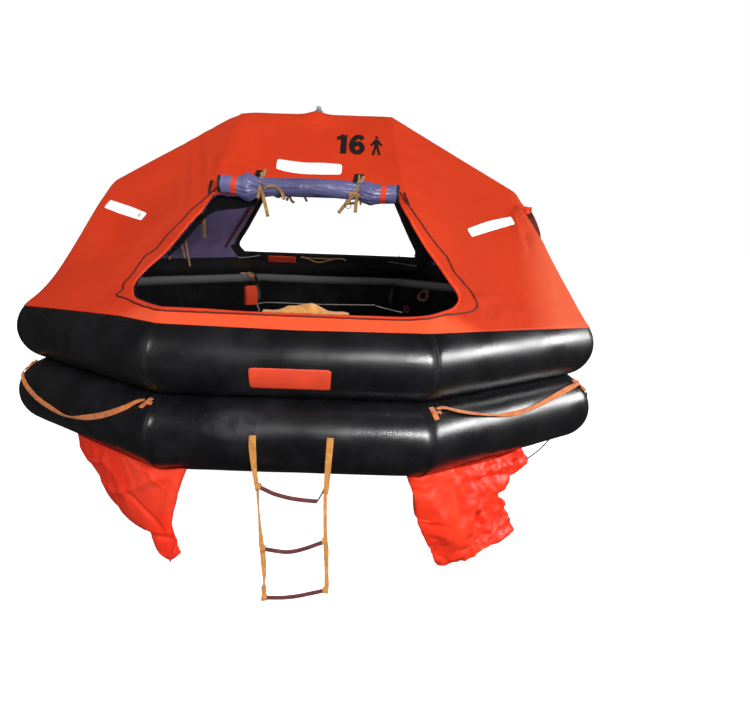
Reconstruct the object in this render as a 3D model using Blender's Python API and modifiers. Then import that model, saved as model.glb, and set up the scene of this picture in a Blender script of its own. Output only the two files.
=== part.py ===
# Inflatable life raft for sixteen people: two octagonal tubes, an arch, a canopy with two doors.
# X points right, Y points from the front door to the rear door, Z points up.
# The origin is in the middle of the raft, on the waterline between the two tubes.
import math

import bmesh
import bpy
from mathutils import Vector

# Driving dimensions, in metres
GAP = 0.0003                 # gap between touching solids
WIDTH = 3.50                 # across the flats of the octagon, outside
TUBE_R = 0.205               # radius of each buoyancy tube
SPACING = 0.395              # between the centres of the two tubes, which are flattened where they meet
SIDES = 8
TUBE_HALF = WIDTH / 2 - TUBE_R
UPPER_Z = SPACING / 2
LOWER_Z = -SPACING / 2
TUBE_ARC_STEPS = 30

ARCH_R = 0.090               # radius of the arch tube
ARCH_OVER = 0.100            # radius at which the canopy passes over it
RIDGE_Z = 1.5485             # top of the canopy
RIDGE_HALF = 0.511           # half the level top run of the arch
SHOULDER_X = 1.342
SHOULDER_Z = 1.0655
BOND_FRONT = 60.0            # where the canopy ends on the upper tube, degrees above its equator
BOND_SIDE = 35.0
SKIN = 0.004                 # canopy fabric
LINING = 0.003
LINING_INSET = 0.025         # lining below the outer skin
SAG_DIAGONAL = 0.045         # how far the fabric pulls in between tube and arch
SAG_FRONT = 0.012

DOOR_Z0 = 0.440              # door opening, bottom and top
DOOR_Z0_REAR = 0.570
DOOR_Z1 = 1.000
DOOR_HALF0 = 0.890
DOOR_HALF1 = 0.584
DOOR_CORNER = 0.045

ROLL_R = 0.080
ROLL_LENGTH = 1.04
ROLL_Z = 1.020               # where the roll rests on the canopy
TIE = 0.0025
TIE_X = 0.28
TIE_WIDTH = 0.035

FLOOR_TOP = LOWER_Z - 0.07
FLOOR_BOTTOM = LOWER_Z - 0.15

LADDER_X = 0.02
LADDER_HALF = (0.195, 0.170, 0.160, 0.148)
LADDER_TOP_Z = -0.200
RUNG_Z = (-0.450, -0.735, -1.005)
RUNG_R = 0.011
RUNG_SAG = 0.020
STRAP_WIDTH = 0.030
STRAP_T = 0.004
BAR_R = 0.004
LADDER_Y = -(WIDTH / 2 + GAP + 0.003 + BAR_R)

WEB = 0.003                  # thickness of webbing and patches
LIFELINE_WIDTH = 0.030
LIFT = 0.0013                # loops of webbing above the round tube, so that their flat pieces clear it
PATCH_LIFT = 0.0007          # the same for patches and for the righting strap

POCKET_TOP = (0.82, 0.28)     # length along the tube and depth
POCKET_BOTTOM_DEPTH = 0.14
POCKET_Z = (-0.375, -0.990)
# Each pocket: run, its centre in s, how far its soft bottom hangs to one side, and the bottom's length
POCKETS = ((4, 4.66, 0.36, 0.32), (6, 6.36, 0.13, 0.60), (0, 0.64, 0.20, 0.45), (2, 2.36, -0.20, 0.45))

LOOKOUT_R = 0.105
LOOKOUT_LONG = 0.060
LOOKOUT_Y = 0.125
LOOKOUT_Z = 0.885
LOOKOUT_LIFT = 0.0006        # seats it on the bowed fabric

BOTTLE_R = 0.080
BOTTLE_LENGTH = 0.66
BOTTLE_STRAP_X = 0.17

bpy.context.view_layer.update()
for old in list(bpy.data.objects):
    bpy.data.objects.remove(old, do_unlink=True)

raft = bpy.data.collections.new("inflatable_life_raft")
guides = bpy.data.collections.new("cutters")
bpy.context.scene.collection.children.link(raft)
bpy.context.scene.collection.children.link(guides)


def material(name, colour, roughness, metallic=0.0):
    """A Principled material of one colour."""
    made = bpy.data.materials.new(name)
    made.use_nodes = True
    shader = made.node_tree.nodes["Principled BSDF"]
    shader.inputs["Base Color"].default_value = (*colour, 1.0)
    shader.inputs["Roughness"].default_value = roughness
    shader.inputs["Metallic"].default_value = metallic
    return made


RUBBER = material("black_rubber", (0.012, 0.012, 0.014), 0.30)
ORANGE = material("canopy_orange", (0.80, 0.075, 0.02), 0.55)
LAVENDER = material("lining_lavender", (0.13, 0.14, 0.36), 0.60)
WEBBING = material("webbing_orange", (0.72, 0.25, 0.03), 0.75)
MAROON = material("rung_maroon", (0.16, 0.02, 0.02), 0.60)
FLOOR_BLACK = material("floor_black", (0.02, 0.02, 0.022), 0.55)
PLATE_RED = material("plate_red", (0.80, 0.06, 0.02), 0.50)
POCKET_RED = material("pocket_red", (0.82, 0.05, 0.02), 0.50)
STEEL = material("bottle_paint", (0.55, 0.56, 0.56), 0.40, 0.3)
BRASS = material("valve_brass", (0.60, 0.45, 0.20), 0.35, 1.0)
LAMP = material("lamp_clear", (0.85, 0.88, 0.85), 0.15)
WHITE = material("lamp_base", (0.80, 0.80, 0.78), 0.45)


def add(name, mesh, surface, cutter=False):
    """Puts a mesh into the scene as one named sub-part, or as a guide that only cuts."""
    made = bpy.data.objects.new(name, mesh)
    if cutter:
        guides.objects.link(made)
        made.hide_render = True
        made.display_type = "WIRE"
    else:
        raft.objects.link(made)
        mesh.materials.append(surface)
    return made


def mesh_from(build):
    """A mesh made with bmesh by the function given, with its faces pointing out."""
    work = bmesh.new()
    build(work)
    bmesh.ops.recalc_face_normals(work, faces=work.faces)
    mesh = bpy.data.meshes.new("mesh")
    work.to_mesh(mesh)
    work.free()
    return mesh


def smooth(thing, angle=35):
    """Shades a round piece smooth, with its sharp edges kept."""
    thing.data.shade_smooth()
    thing.data.set_sharp_from_angle(angle=math.radians(angle))


def cut(thing, cutter, operation="DIFFERENCE"):
    """Adds a Boolean modifier."""
    step = thing.modifiers.new(cutter.name, "BOOLEAN")
    step.operation = operation
    step.object = cutter
    step.solver = "EXACT"


def thicken(thing, thickness, offset=1.0):
    """Gives an open surface its thickness, on the side its normals point to."""
    step = thing.modifiers.new("thickness", "SOLIDIFY")
    step.thickness = thickness
    step.offset = offset


def turned(name, profile, surface, steps, cutter=False, turn=0.0):
    """A closed or axis-to-axis profile of (radius, height), turned about Z."""
    mesh = bpy.data.meshes.new(name)
    count = len(profile)
    closed = profile[0][0] > 0.001
    edges = [(i, i + 1) for i in range(count - 1)]
    if closed:
        edges.append((count - 1, 0))
    mesh.from_pydata([(r, 0.0, z) for r, z in profile], edges, [])
    made = add(name, mesh, surface, cutter)
    spin = made.modifiers.new("turn", "SCREW")
    spin.axis = "Z"
    spin.steps = steps
    spin.render_steps = steps
    spin.use_merge_vertices = True
    spin.merge_threshold = 0.0001
    spin.use_smooth_shade = steps > SIDES
    made.rotation_euler = (0.0, 0.0, math.radians(turn))
    return made


def rod(name, points, radius, surface, sides=3, cutter=False):
    """A round rod through the points, as a mesh with welded caps."""
    curve = bpy.data.curves.new(name, "CURVE")
    curve.dimensions = "3D"
    curve.bevel_depth = radius
    curve.bevel_resolution = sides
    curve.use_fill_caps = True
    line = curve.splines.new("POLY")
    line.points.add(len(points) - 1)
    for point, place in zip(line.points, points):
        point.co = (*place, 1.0)
    source = bpy.data.objects.new(name + "_curve", curve)
    guides.objects.link(source)
    bpy.context.view_layer.update()
    seen = source.evaluated_get(bpy.context.evaluated_depsgraph_get())
    mesh = bpy.data.meshes.new_from_object(seen)
    work = bmesh.new()
    work.from_mesh(mesh)
    bmesh.ops.remove_doubles(work, verts=work.verts, dist=0.00001)
    bmesh.ops.recalc_face_normals(work, faces=work.faces)
    work.to_mesh(mesh)
    work.free()
    made = add(name, mesh, surface, cutter)
    made.matrix_world = source.matrix_world
    bpy.data.objects.remove(source, do_unlink=True)
    smooth(made)
    return made


def box(name, size, centre, surface):
    """A rectangular block."""
    def build(work):
        bmesh.ops.create_cube(work, size=1.0)
        bmesh.ops.scale(work, vec=size, verts=work.verts)
    made = add(name, mesh_from(build), surface)
    made.location = centre
    return made


def loft(name, rows, surface, thickness, outward):
    """An open surface through rows of points, thickened on the side that 'outward' points to."""
    across = len(rows[0])
    points = [Vector(p) for row in rows for p in row]
    faces = []
    for i in range(len(rows) - 1):
        for j in range(across - 1):
            a = i * across + j
            faces.append((a, a + 1, a + across + 1, a + across))
    mesh = bpy.data.meshes.new(name)
    mesh.from_pydata(points, [], faces)
    middle = mesh.polygons[len(faces) // 2]
    if middle.normal.dot(outward(middle.center)) < 0:
        mesh.flip_normals()
    made = add(name, mesh, surface)
    thicken(made, thickness)
    return made


# Places on the octagon: s runs from 0 to 8 round the raft, whole numbers are its corners
def ring(s, half):
    """Point on an octagon with the given half width, at s."""
    start = math.floor(s)
    part = s - start
    reach = half / math.cos(math.pi / SIDES)
    step = math.tau / SIDES
    corners = [Vector((math.cos(step * (k + 0.5)), math.sin(step * (k + 0.5)))) for k in (start, start + 1)]
    return corners[0].lerp(corners[1], part) * reach


def on_tube(s, angle, centre_z, lift):
    """Point on a buoyancy tube, 'angle' degrees above its outer equator, 'lift' above its surface."""
    turn = math.radians(angle)
    radius = TUBE_R + lift
    flat = ring(s, TUBE_HALF + radius * math.cos(turn))
    return Vector((flat.x, flat.y, centre_z + radius * math.sin(turn)))


def outward_from_axis(tube_z):
    """Direction out of a buoyancy tube at a point near its surface."""
    def direction(place):
        flat = Vector((place.x, place.y))
        reach = max(abs(flat.dot(Vector((math.cos(k * math.pi / 4), math.sin(k * math.pi / 4)))))
                    for k in range(4))
        side = flat.normalized() * (reach - TUBE_HALF)
        return Vector((side.x, side.y, place.z - tube_z))
    return direction


# Buoyancy tubes and floor
def tube_profile(centre_z, extra=0.0):
    """Outline of a tube at a corner of the octagon, with the flat where it meets the other tube."""
    radius = TUBE_R + extra
    cut_angle = math.acos((SPACING / 2 - GAP / 2 + extra) / radius)
    up = centre_z > 0
    first = math.pi * 1.5 - cut_angle
    sweep = math.tau - 2 * cut_angle
    points = []
    for i in range(TUBE_ARC_STEPS + 1):
        turn = first - sweep * i / TUBE_ARC_STEPS
        if not up:
            turn += math.pi
        out = TUBE_HALF + radius * math.cos(turn)
        points.append((out / math.cos(math.pi / SIDES), centre_z + radius * math.sin(turn)))
    return points


def make_tubes():
    for name, z in (("lower_tube", LOWER_Z), ("upper_tube", UPPER_Z)):
        turned(name, tube_profile(z), RUBBER, SIDES, turn=180 / SIDES)
    cutters = {}
    for name, z in (("lower_clearance", LOWER_Z), ("upper_clearance", UPPER_Z)):
        cutters[name] = turned(name, tube_profile(z, GAP), None, SIDES, cutter=True, turn=180 / SIDES)
    return cutters


def make_floor():
    """A flat inflated floor whose edge follows the inner side of the lower tube."""
    radius = TUBE_R + 2 * GAP
    profile = [(0.0, FLOOR_TOP)]
    steps = 6
    for i in range(steps + 1):
        z = FLOOR_TOP + (FLOOR_BOTTOM - FLOOR_TOP) * i / steps
        reach = TUBE_HALF - math.sqrt(radius ** 2 - (z - LOWER_Z) ** 2)
        profile.append((reach / math.cos(math.pi / SIDES), z))
    profile.append((0.0, FLOOR_BOTTOM))
    turned("floor", profile, FLOOR_BLACK, SIDES, turn=180 / SIDES)


def bond_angle(s):
    """Where the canopy ends on the upper tube: high at the doors, lower at the sides."""
    return BOND_FRONT + (BOND_SIDE - BOND_FRONT) * min(1.0, max(0.0, s - 6.0))


# Arch: its centre line is the canopy's outline moved in
def offset_outline(distance):
    """Corners of the arch outline on the right, moved in: foot, shoulder, ridge end, middle of the ridge."""
    bond = on_tube(7.5, BOND_SIDE, UPPER_Z, 0.0)
    outline = [Vector((bond.x, bond.z)), Vector((SHOULDER_X, SHOULDER_Z)), Vector((RIDGE_HALF, RIDGE_Z)),
               Vector((0.0, RIDGE_Z))]
    lines = []
    for a, b in zip(outline, outline[1:]):
        along = (b - a).normalized()
        normal = Vector((along.y, -along.x))
        lines.append((a - normal * distance, along, normal))
    moved = [lines[0][0]]
    for (p, d, n), (q, e, m) in zip(lines, lines[1:]):
        reach = (q - p).dot(m) / d.dot(m)
        moved.append(p + d * reach)
    moved.append(Vector((0.0, RIDGE_Z - distance)))
    return moved, [line[2] for line in lines]


ARCH_IN = SKIN + ARCH_OVER
ARCH_LINE, ARCH_NORMALS = offset_outline(ARCH_IN)


def make_arch(cutters):
    foot = ARCH_LINE[0] + (ARCH_LINE[0] - ARCH_LINE[1]).normalized() * 0.05
    right = [foot, ARCH_LINE[1], ARCH_LINE[2]]
    points = [(-p.x, 0.0, p.y) for p in right] + [(p.x, 0.0, p.y) for p in reversed(right)]
    arch = rod("arch_tube", points, ARCH_R, RUBBER, sides=6)
    cut(arch, cutters["upper_clearance"])
    cutters["arch_clearance"] = rod("arch_clearance", points, ARCH_R + 2 * GAP, None, sides=6, cutter=True)


# Canopy: ribs run from the upper tube to the arch
def arch_at(s):
    """Middle of the arch, its outward direction and the reach of the canopy there, for the rib at s."""
    foot, shoulder, end, middle = ARCH_LINE
    low, slope, level = ARCH_NORMALS
    if s > 7.0:
        return foot.lerp(shoulder, 0.45 + 0.55 * (7.5 - s) / 0.5), low, ARCH_OVER
    if s in (7.0, 6.0):
        before, after, corner = (low, slope, shoulder) if s == 7.0 else (slope, level, end)
        bisector = (before + after).normalized()
        return corner, bisector, ARCH_OVER / bisector.dot(before)
    if s > 6.0:
        return shoulder.lerp(end, 7.0 - s), slope, ARCH_OVER
    return end.lerp(middle, (6.0 - s) / 0.5), level, ARCH_OVER


ARC_ROWS = 4
STRAIGHT_ROWS = 7
HEM_ROWS = 2


def sag_at(s):
    """How far the middle of the rib at s pulls in."""
    if s >= 7.0:
        return 0.0
    if s >= 6.0:
        wave = math.sin(math.pi * (7.0 - s)) ** 2
        return SAG_DIAGONAL * wave + SAG_FRONT * (7.0 - s) ** 2
    return SAG_FRONT


def rib(s, inset=0.0):
    """Points of the canopy from the hem on the tube up to the ridge, for s from 5.5 to 7.5."""
    centre2, normal2, reach = arch_at(s)
    centre = Vector((centre2.x, 0.0, centre2.y))
    normal = Vector((normal2.x, 0.0, normal2.y))
    crown = centre + normal * reach
    lift = GAP * 2
    bond = bond_angle(s)
    start = on_tube(s, bond, UPPER_Z, lift)
    inward = -ring(s, 1.0).normalized()
    slope = math.atan2(crown.z - start.z, (Vector((crown.x, crown.y)) - Vector((start.x, start.y))).dot(inward))
    dip = math.atan(4 * sag_at(s) / (crown - start).length)
    leave_angle = max(bond, 90.0 - math.degrees(slope - dip)) + 3.0
    leave = on_tube(s, leave_angle, UPPER_Z, lift + 0.0006)
    side = leave - centre
    along = side.dot(normal)
    across = (side - normal * along)
    width = across.length
    across.normalize()
    phi = math.atan2(width, along)
    arc = max(0.0, phi - math.acos(min(1.0, reach / math.hypot(along, width))))
    if s >= 7.0:
        arc = 0.0
    touch = centre + (normal * math.cos(arc) + across * math.sin(arc)) * reach
    run = touch - leave
    inside = run.cross(Vector((-inward.y, inward.x, 0.0))).normalized()
    if inside.z > 0:
        inside = -inside
    points = []
    if inset == 0.0:
        for i in range(HEM_ROWS):
            angle = bond + (leave_angle - bond) * i / HEM_ROWS
            points.append(on_tube(s, angle, UPPER_Z, lift))
    for i in range(STRAIGHT_ROWS + 1):
        part = i / STRAIGHT_ROWS
        bow = sag_at(s) * 4 * part * (1 - part)
        points.append(leave + run * part + inside * (bow + inset))
    if inset == 0.0:
        if arc * reach > 0.02:
            tight = reach / math.cos(arc / ARC_ROWS / 2)
            for i in range(1, ARC_ROWS + 1):
                turn = arc * (1 - i / ARC_ROWS)
                points.append(centre + (normal * math.cos(turn) + across * math.sin(turn)) * tight)
        else:
            last = points[-1]
            before = points[-2]
            points.pop()
            for i in range(1, ARC_ROWS + 2):
                part = i / (ARC_ROWS + 1)
                points.append(before.lerp(last, part))
    return points


COLUMNS = ([5.5 + 0.125 * i for i in range(4)] + [6.0 + i / 7 for i in range(7)] + [7.0, 7.25, 7.5])


def half_canopy(inset=0.0):
    """All ribs of the front half, from the left side round to the right side."""
    right = [rib(s, inset) for s in COLUMNS]
    left = [[Vector((-p.x, p.y, p.z)) for p in row] for row in reversed(right[1:])]
    rows = left + right
    return [[Vector((p.x, min(p.y, -GAP / 2), p.z)) for p in row] for row in rows]


def up_and_out(place):
    return Vector((place.x, place.y, 1.0))


def door_cutter(name, front):
    """A rounded trapezoid that goes through the skins from outside to well inside."""
    low = DOOR_Z0 if front else DOOR_Z0_REAR
    half = DOOR_HALF0 + (DOOR_HALF1 - DOOR_HALF0) * (low - DOOR_Z0) / (DOOR_Z1 - DOOR_Z0)
    corners = [(-half, low), (half, low), (DOOR_HALF1, DOOR_Z1), (-DOOR_HALF1, DOOR_Z1)]
    outline = []
    for i, corner in enumerate(corners):
        here = Vector(corner)
        back = (Vector(corners[i - 1]) - here).normalized()
        ahead = (Vector(corners[(i + 1) % 4]) - here).normalized()
        radius = DOOR_CORNER if i < 2 else DOOR_CORNER * 0.4
        half = math.acos(back.dot(ahead)) / 2
        middle = here + (back + ahead).normalized() * radius / math.sin(half)
        first = here + back * radius / math.tan(half) - middle
        last = here + ahead * radius / math.tan(half) - middle
        for k in range(5):
            outline.append(middle + first.lerp(last, k / 4).normalized() * radius)
    near, far = (-2.2, -0.15) if front else (0.15, 2.2)

    def build(work):
        lids = []
        for y in (near, far):
            lids.append([work.verts.new((p.x, y, p.y)) for p in outline])
        work.faces.new(lids[0])
        work.faces.new(lids[1])
        for i in range(len(outline)):
            j = (i + 1) % len(outline)
            work.faces.new((lids[0][i], lids[0][j], lids[1][j], lids[1][i]))
    return add(name, mesh_from(build), None, cutter=True)


def make_canopy(cutters):
    for side in ("front", "rear"):
        front = side == "front"
        door = door_cutter("door_hole_" + side, front)
        for kind, inset, thickness, surface in (("canopy", 0.0, SKIN, ORANGE),
                                                ("lining", LINING_INSET, LINING, LAVENDER)):
            rows = half_canopy(inset)
            if not front:
                rows = [[Vector((p.x, -p.y, p.z)) for p in row] for row in rows]
            skin = loft(kind + "_" + side, rows, surface, thickness, up_and_out)
            if kind == "lining":
                cut(skin, cutters["upper_clearance"])
                cut(skin, cutters["arch_clearance"])
            cut(skin, door)


# Door curtains, rolled up and tied above the openings
def roll_seat():
    """Centre of the front roll, resting on its ties on the canopy."""
    points = rib(5.5)
    for a, b in zip(points, points[1:]):
        if a.z <= ROLL_Z <= b.z:
            place = a.lerp(b, (ROLL_Z - a.z) / (b.z - a.z))
            along = (b - a).normalized()
            normal = Vector((0.0, -along.z, along.y))
            return place + normal * (SKIN + GAP + TIE + GAP + ROLL_R)
    return None


def make_curtains():
    seat = roll_seat()
    for side, sign in (("front", 1), ("rear", -1)):
        y = seat.y * sign
        half = ROLL_LENGTH / 2
        spans = [-half, -half + 0.03, half - 0.03, half]
        sizes = (0.75, 1.0, 1.0, 0.75)
        profile = [(0.0, spans[0])] + [(ROLL_R * k, x) for x, k in zip(spans, sizes)] + [(0.0, spans[-1])]
        roll = turned("curtain_roll_" + side, profile[::-1], LAVENDER, 20)
        roll.location = (0.0, y, seat.z)
        roll.rotation_euler = (0.0, math.radians(90), 0.0)
        for place, x in (("left", -TIE_X), ("right", TIE_X)):
            inner = ROLL_R + GAP
            outer = inner + TIE
            profile = [(outer, TIE_WIDTH / 2), (outer, -TIE_WIDTH / 2), (inner, -TIE_WIDTH / 2),
                       (inner, TIE_WIDTH / 2)]
            tie = turned("curtain_tie_" + side + "_" + place, profile, WEBBING, 20)
            tie.location = (x, y, seat.z)
            tie.rotation_euler = (0.0, math.radians(90), 0.0)


# Exterior light on the ridge
def make_light():
    foot = RIDGE_Z + GAP * 4
    base = [(0.0, foot + 0.018), (0.020, foot + 0.018), (0.032, foot + 0.006), (0.034, foot), (0.0, foot)]
    turned("light_base", base, WHITE, 20)
    low = foot + 0.018 + GAP
    lamp = [(0.0, low + 0.040)]
    for i in range(1, 6):
        turn = math.radians(18 * i)
        lamp.append((0.016 * math.sin(turn), low + 0.024 + 0.016 * math.cos(turn)))
    lamp += [(0.016, low), (0.0, low)]
    turned("light_lamp", lamp, LAMP, 16)


def patch(name, s_values, angles, tube_z, surface, thickness=WEB, lift=PATCH_LIFT):
    """A patch that lies on a buoyancy tube."""
    rows = [[on_tube(s, a, tube_z, lift) for a in angles] for s in s_values]
    return loft(name, rows, surface, thickness, outward_from_axis(tube_z))


def s_front(x):
    """s of a point of the front run at x, on the tube's outer side."""
    side = 2 * (WIDTH / 2) * math.tan(math.pi / SIDES)
    return 5.5 + x / side


def make_plates():
    half = 0.205
    steps = 6
    angles = [-41 + 40 * i / steps for i in range(steps + 1)]
    for name, shift in (("boarding_plate_front", 0.0), ("boarding_plate_rear", 4.0)):
        span = [(s_front(-half + 2 * half * i / steps) + shift) % SIDES for i in range(steps + 1)]
        patch(name, span, angles, UPPER_Z, PLATE_RED, thickness=0.002)


# Lifelines: one loop on each run but the two boarding runs, ended by a patch at each corner
PATCH_HALF = 0.045
LOOP_TOP = 48.0              # angles on the lower tube
LOOP_LOW = 8.0


def make_lifelines():
    for k in range(SIDES):
        patch("lifeline_patch_%d" % (k + 1), [k - PATCH_HALF, k, k + PATCH_HALF], [42, 46, 50, 54, 58], LOWER_Z,
              WEBBING)
    loops = [k for k in range(SIDES) if k not in (1, 5)]
    for number, k in enumerate(loops):
        start = k + PATCH_HALF + GAP
        end = k + 1 - PATCH_HALF - GAP
        steps = 18
        half = math.degrees(LIFELINE_WIDTH / 2 / TUBE_R)
        rows = []
        for i in range(steps + 1):
            part = i / steps
            drop = 1 - (2 * part - 1) ** 2
            middle = LOOP_TOP + (LOOP_LOW - LOOP_TOP) * drop
            rows.append([on_tube(start + (end - start) * part, middle + half * j, LOWER_Z, LIFT)
                         for j in (-1, 0, 1)])
        loft("lifeline_%d" % (number + 1), rows, WEBBING, WEB, outward_from_axis(LOWER_Z))


# Boarding ladder: webbing in three bays, each hanging from the rung above
def strap(name, x_top, z_top, x_low, z_low):
    """One flat webbing strap between two heights."""
    def build(work):
        bmesh.ops.create_cube(work, size=1.0)
        for vert in work.verts:
            top = vert.co.z > 0
            middle = x_top if top else x_low
            z = z_top if top else z_low
            vert.co = Vector((middle + vert.co.x * STRAP_WIDTH, LADDER_Y + vert.co.y * STRAP_T, z))
    return add(name, mesh_from(build), WEBBING)


def make_ladder():
    edge = math.degrees(math.asin((LADDER_TOP_Z - LOWER_Z) / TUBE_R))
    for side, sign in (("left", -1), ("right", 1)):
        x = LADDER_X + sign * LADDER_HALF[0]
        reach = STRAP_WIDTH / 2 + 0.01
        span = [s_front(x - reach), s_front(x + reach)]
        pad = patch("ladder_patch_" + side, span, [edge - 1, edge + 4, edge + 9, edge + 14], LOWER_Z, WEBBING)
        bar = rod("ladder_bar_" + side, [(x - reach, LADDER_Y, LADDER_TOP_Z), (x + reach, LADDER_Y, LADDER_TOP_Z)],
                  BAR_R, None, cutter=True)
        cut(pad, bar, "UNION")
    tops = (LADDER_TOP_Z,) + RUNG_Z
    for bay, word in enumerate(("top", "middle", "low")):
        above = BAR_R if bay == 0 else RUNG_R
        z_top = tops[bay] - above - GAP
        z_low = tops[bay + 1] + RUNG_R + GAP
        for side, sign in (("left", -1), ("right", 1)):
            strap("ladder_strap_%s_%s" % (word, side), LADDER_X + sign * LADDER_HALF[bay], z_top,
                  LADDER_X + sign * LADDER_HALF[bay + 1], z_low)
        half = LADDER_HALF[bay + 1] + STRAP_WIDTH / 2 + 0.004
        flat = half - STRAP_WIDTH - 0.012
        points = [(-half, 0.0), (-flat, 0.0)]
        points += [(-flat + 2 * flat * i / 8, -RUNG_SAG * (1 - (2 * i / 8 - 1) ** 2)) for i in range(1, 8)]
        points += [(flat, 0.0), (half, 0.0)]
        rod("ladder_rung_%d" % (bay + 1), [(LADDER_X + x, LADDER_Y, RUNG_Z[bay] + z) for x, z in points], RUNG_R,
            MAROON)


# Water pockets under the four diagonal runs
def make_pockets(cutters):
    for number, (k, place, lean, low_length) in enumerate(POCKETS):
        run = ring(k + 0.5, TUBE_HALF)
        middle = ring(place, TUBE_HALF)
        turn = math.atan2(run.y, run.x)

        def build(work):
            bmesh.ops.create_cube(work, size=1.0)
            for vert in work.verts:
                top = vert.co.z > 0
                long, deep = POCKET_TOP if top else (low_length, POCKET_BOTTOM_DEPTH)
                shift = 0.0 if top else lean
                vert.co = Vector((vert.co.x * deep, vert.co.y * long + shift, POCKET_Z[0] if top else POCKET_Z[1]))
            bmesh.ops.bevel(work, geom=list(work.edges), offset=0.03, segments=2, affect="EDGES", profile=0.5)
        pocket = add("ballast_pocket_%d" % (number + 1), mesh_from(build), POCKET_RED)
        pocket.location = (middle.x, middle.y, 0.0)
        pocket.rotation_euler = (0.0, 0.0, turn)
        cut(pocket, cutters["lower_clearance"])


# Gas bottle under the rear run
def make_bottle():
    belt = BOTTLE_R + GAP + WEB
    z = LOWER_Z - TUBE_R - GAP - belt
    y = TUBE_HALF
    half = BOTTLE_LENGTH / 2
    profile = [(0.0, half)]
    for i in range(1, 6):
        turn = math.radians(18 * i)
        profile.append((BOTTLE_R * math.sin(turn), half - BOTTLE_R + BOTTLE_R * math.cos(turn)))
    profile += [(r, -h) for r, h in reversed(profile[1:])] + [(0.0, -half)]
    bottle = turned("gas_cylinder", profile, STEEL, 24)
    neck = [(0.0, half + 0.075), (0.018, half + 0.075), (0.018, half + 0.030), (0.024, half + 0.028),
            (0.024, half + GAP), (0.0, half + GAP)]
    head = turned("cylinder_head", neck, BRASS, 16)
    for thing in (bottle, head):
        thing.location = (0.0, y, z)
        thing.rotation_euler = (0.0, math.radians(90), 0.0)
    inner = BOTTLE_R + GAP
    for side, x in (("left", -BOTTLE_STRAP_X), ("right", BOTTLE_STRAP_X)):
        profile = [(belt, 0.025), (belt, -0.025), (inner, -0.025), (inner, 0.025)]
        band = turned("cylinder_strap_" + side, profile, WEBBING, 24)
        band.location = (x, y, z)
        band.rotation_euler = (0.0, math.radians(90), 0.0)


def make_righting_strap():
    """A strap across the underside, on the floor and up the inner sides of the lower tube."""
    low = FLOOR_BOTTOM - PATCH_LIFT
    floor_angle = -180.0 + math.degrees(math.asin((LOWER_Z - low + WEB + PATCH_LIFT) / TUBE_R))
    steps = 8
    sides = [on_tube(7.5, -90.0 + (floor_angle + 90.0) * i / steps, LOWER_Z, PATCH_LIFT) for i in range(steps + 1)]
    right = [(p.x, p.z) for p in sides]
    right.append((right[-1][0] - 0.02, low))
    line = [(-x, z) for x, z in right] + [(x, z) for x, z in reversed(right)]
    half = 0.025
    rows = [[(x, -half, z), (x, half, z)] for x, z in line]
    loft("righting_strap", rows, WEBBING, WEB, lambda place: Vector((0.0, 0.0, -1.0)))


def make_lookout():
    """A cuff round the lookout port, on the right side just behind the arch."""
    bond = on_tube(7.5, BOND_SIDE, UPPER_Z, 0.0)
    along = Vector((SHOULDER_X - bond.x, 0.0, SHOULDER_Z - bond.z))
    foot = Vector((bond.x, LOOKOUT_Y, bond.z)) + along * ((LOOKOUT_Z - bond.z) / along.z)
    normal = Vector((along.z, 0.0, -along.x)).normalized()
    wall = SKIN
    inner = LOOKOUT_R - wall
    profile = [(inner, 0.0), (LOOKOUT_R, 0.0), (LOOKOUT_R, LOOKOUT_LONG), (inner, LOOKOUT_LONG)]
    cuff = turned("lookout_sleeve", profile[::-1], ORANGE, 24)
    cuff.location = foot + normal * LOOKOUT_LIFT
    cuff.rotation_euler = (0.0, math.atan2(normal.x, normal.z), 0.0)


def make_small_pieces():
    # Painter patch: a flat reinforced plate below the rear door, where the towing line is made fast
    box("painter_patch", (0.12, 0.012, 0.08), (-0.42, WIDTH / 2 + 0.006 + GAP, LOWER_Z), RUBBER)
    patch("inside_pouch", [2.03, 2.08, 2.13], [150 + 5 * i for i in range(9)], UPPER_Z, PLATE_RED, thickness=0.03)


cutters = make_tubes()
make_floor()
make_arch(cutters)
make_canopy(cutters)
make_curtains()
make_light()
make_plates()
make_lifelines()
make_ladder()
make_pockets(cutters)
make_bottle()
make_righting_strap()
make_lookout()
make_small_pieces()
bpy.context.view_layer.update()
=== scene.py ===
# Looks of the inflatable life raft: coated fabric, rubber tubes, webbing and rolled curtains.
# Frame: X right, Y from the front door to the rear door, Z up, metres; the origin is on the waterline.
import math

import bmesh
import bpy
from mathutils import Matrix, Vector, noise
from mathutils.bvhtree import BVHTree


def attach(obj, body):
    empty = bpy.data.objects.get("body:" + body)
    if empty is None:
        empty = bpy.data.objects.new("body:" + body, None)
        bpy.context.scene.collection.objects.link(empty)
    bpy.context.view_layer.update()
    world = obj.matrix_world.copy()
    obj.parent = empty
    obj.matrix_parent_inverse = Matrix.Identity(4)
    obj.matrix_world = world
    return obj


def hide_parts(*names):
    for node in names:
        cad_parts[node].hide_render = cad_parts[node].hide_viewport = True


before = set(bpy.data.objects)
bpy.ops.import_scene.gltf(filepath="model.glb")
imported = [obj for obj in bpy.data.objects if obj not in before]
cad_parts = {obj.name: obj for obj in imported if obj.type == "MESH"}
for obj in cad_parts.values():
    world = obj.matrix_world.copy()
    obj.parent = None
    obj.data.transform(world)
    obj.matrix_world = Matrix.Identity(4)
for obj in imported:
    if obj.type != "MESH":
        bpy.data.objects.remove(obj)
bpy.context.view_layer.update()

# Sizes repeated from part.py
WIDTH = 3.50
TUBE_R = 0.205
SPACING = 0.395
SIDES = 8
TUBE_HALF = WIDTH / 2 - TUBE_R
UPPER_Z = SPACING / 2
LOWER_Z = -SPACING / 2
ARCH_OVER = 0.100
RIDGE_Z = 1.5485
RIDGE_HALF = 0.511
SHOULDER_X = 1.342
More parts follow.
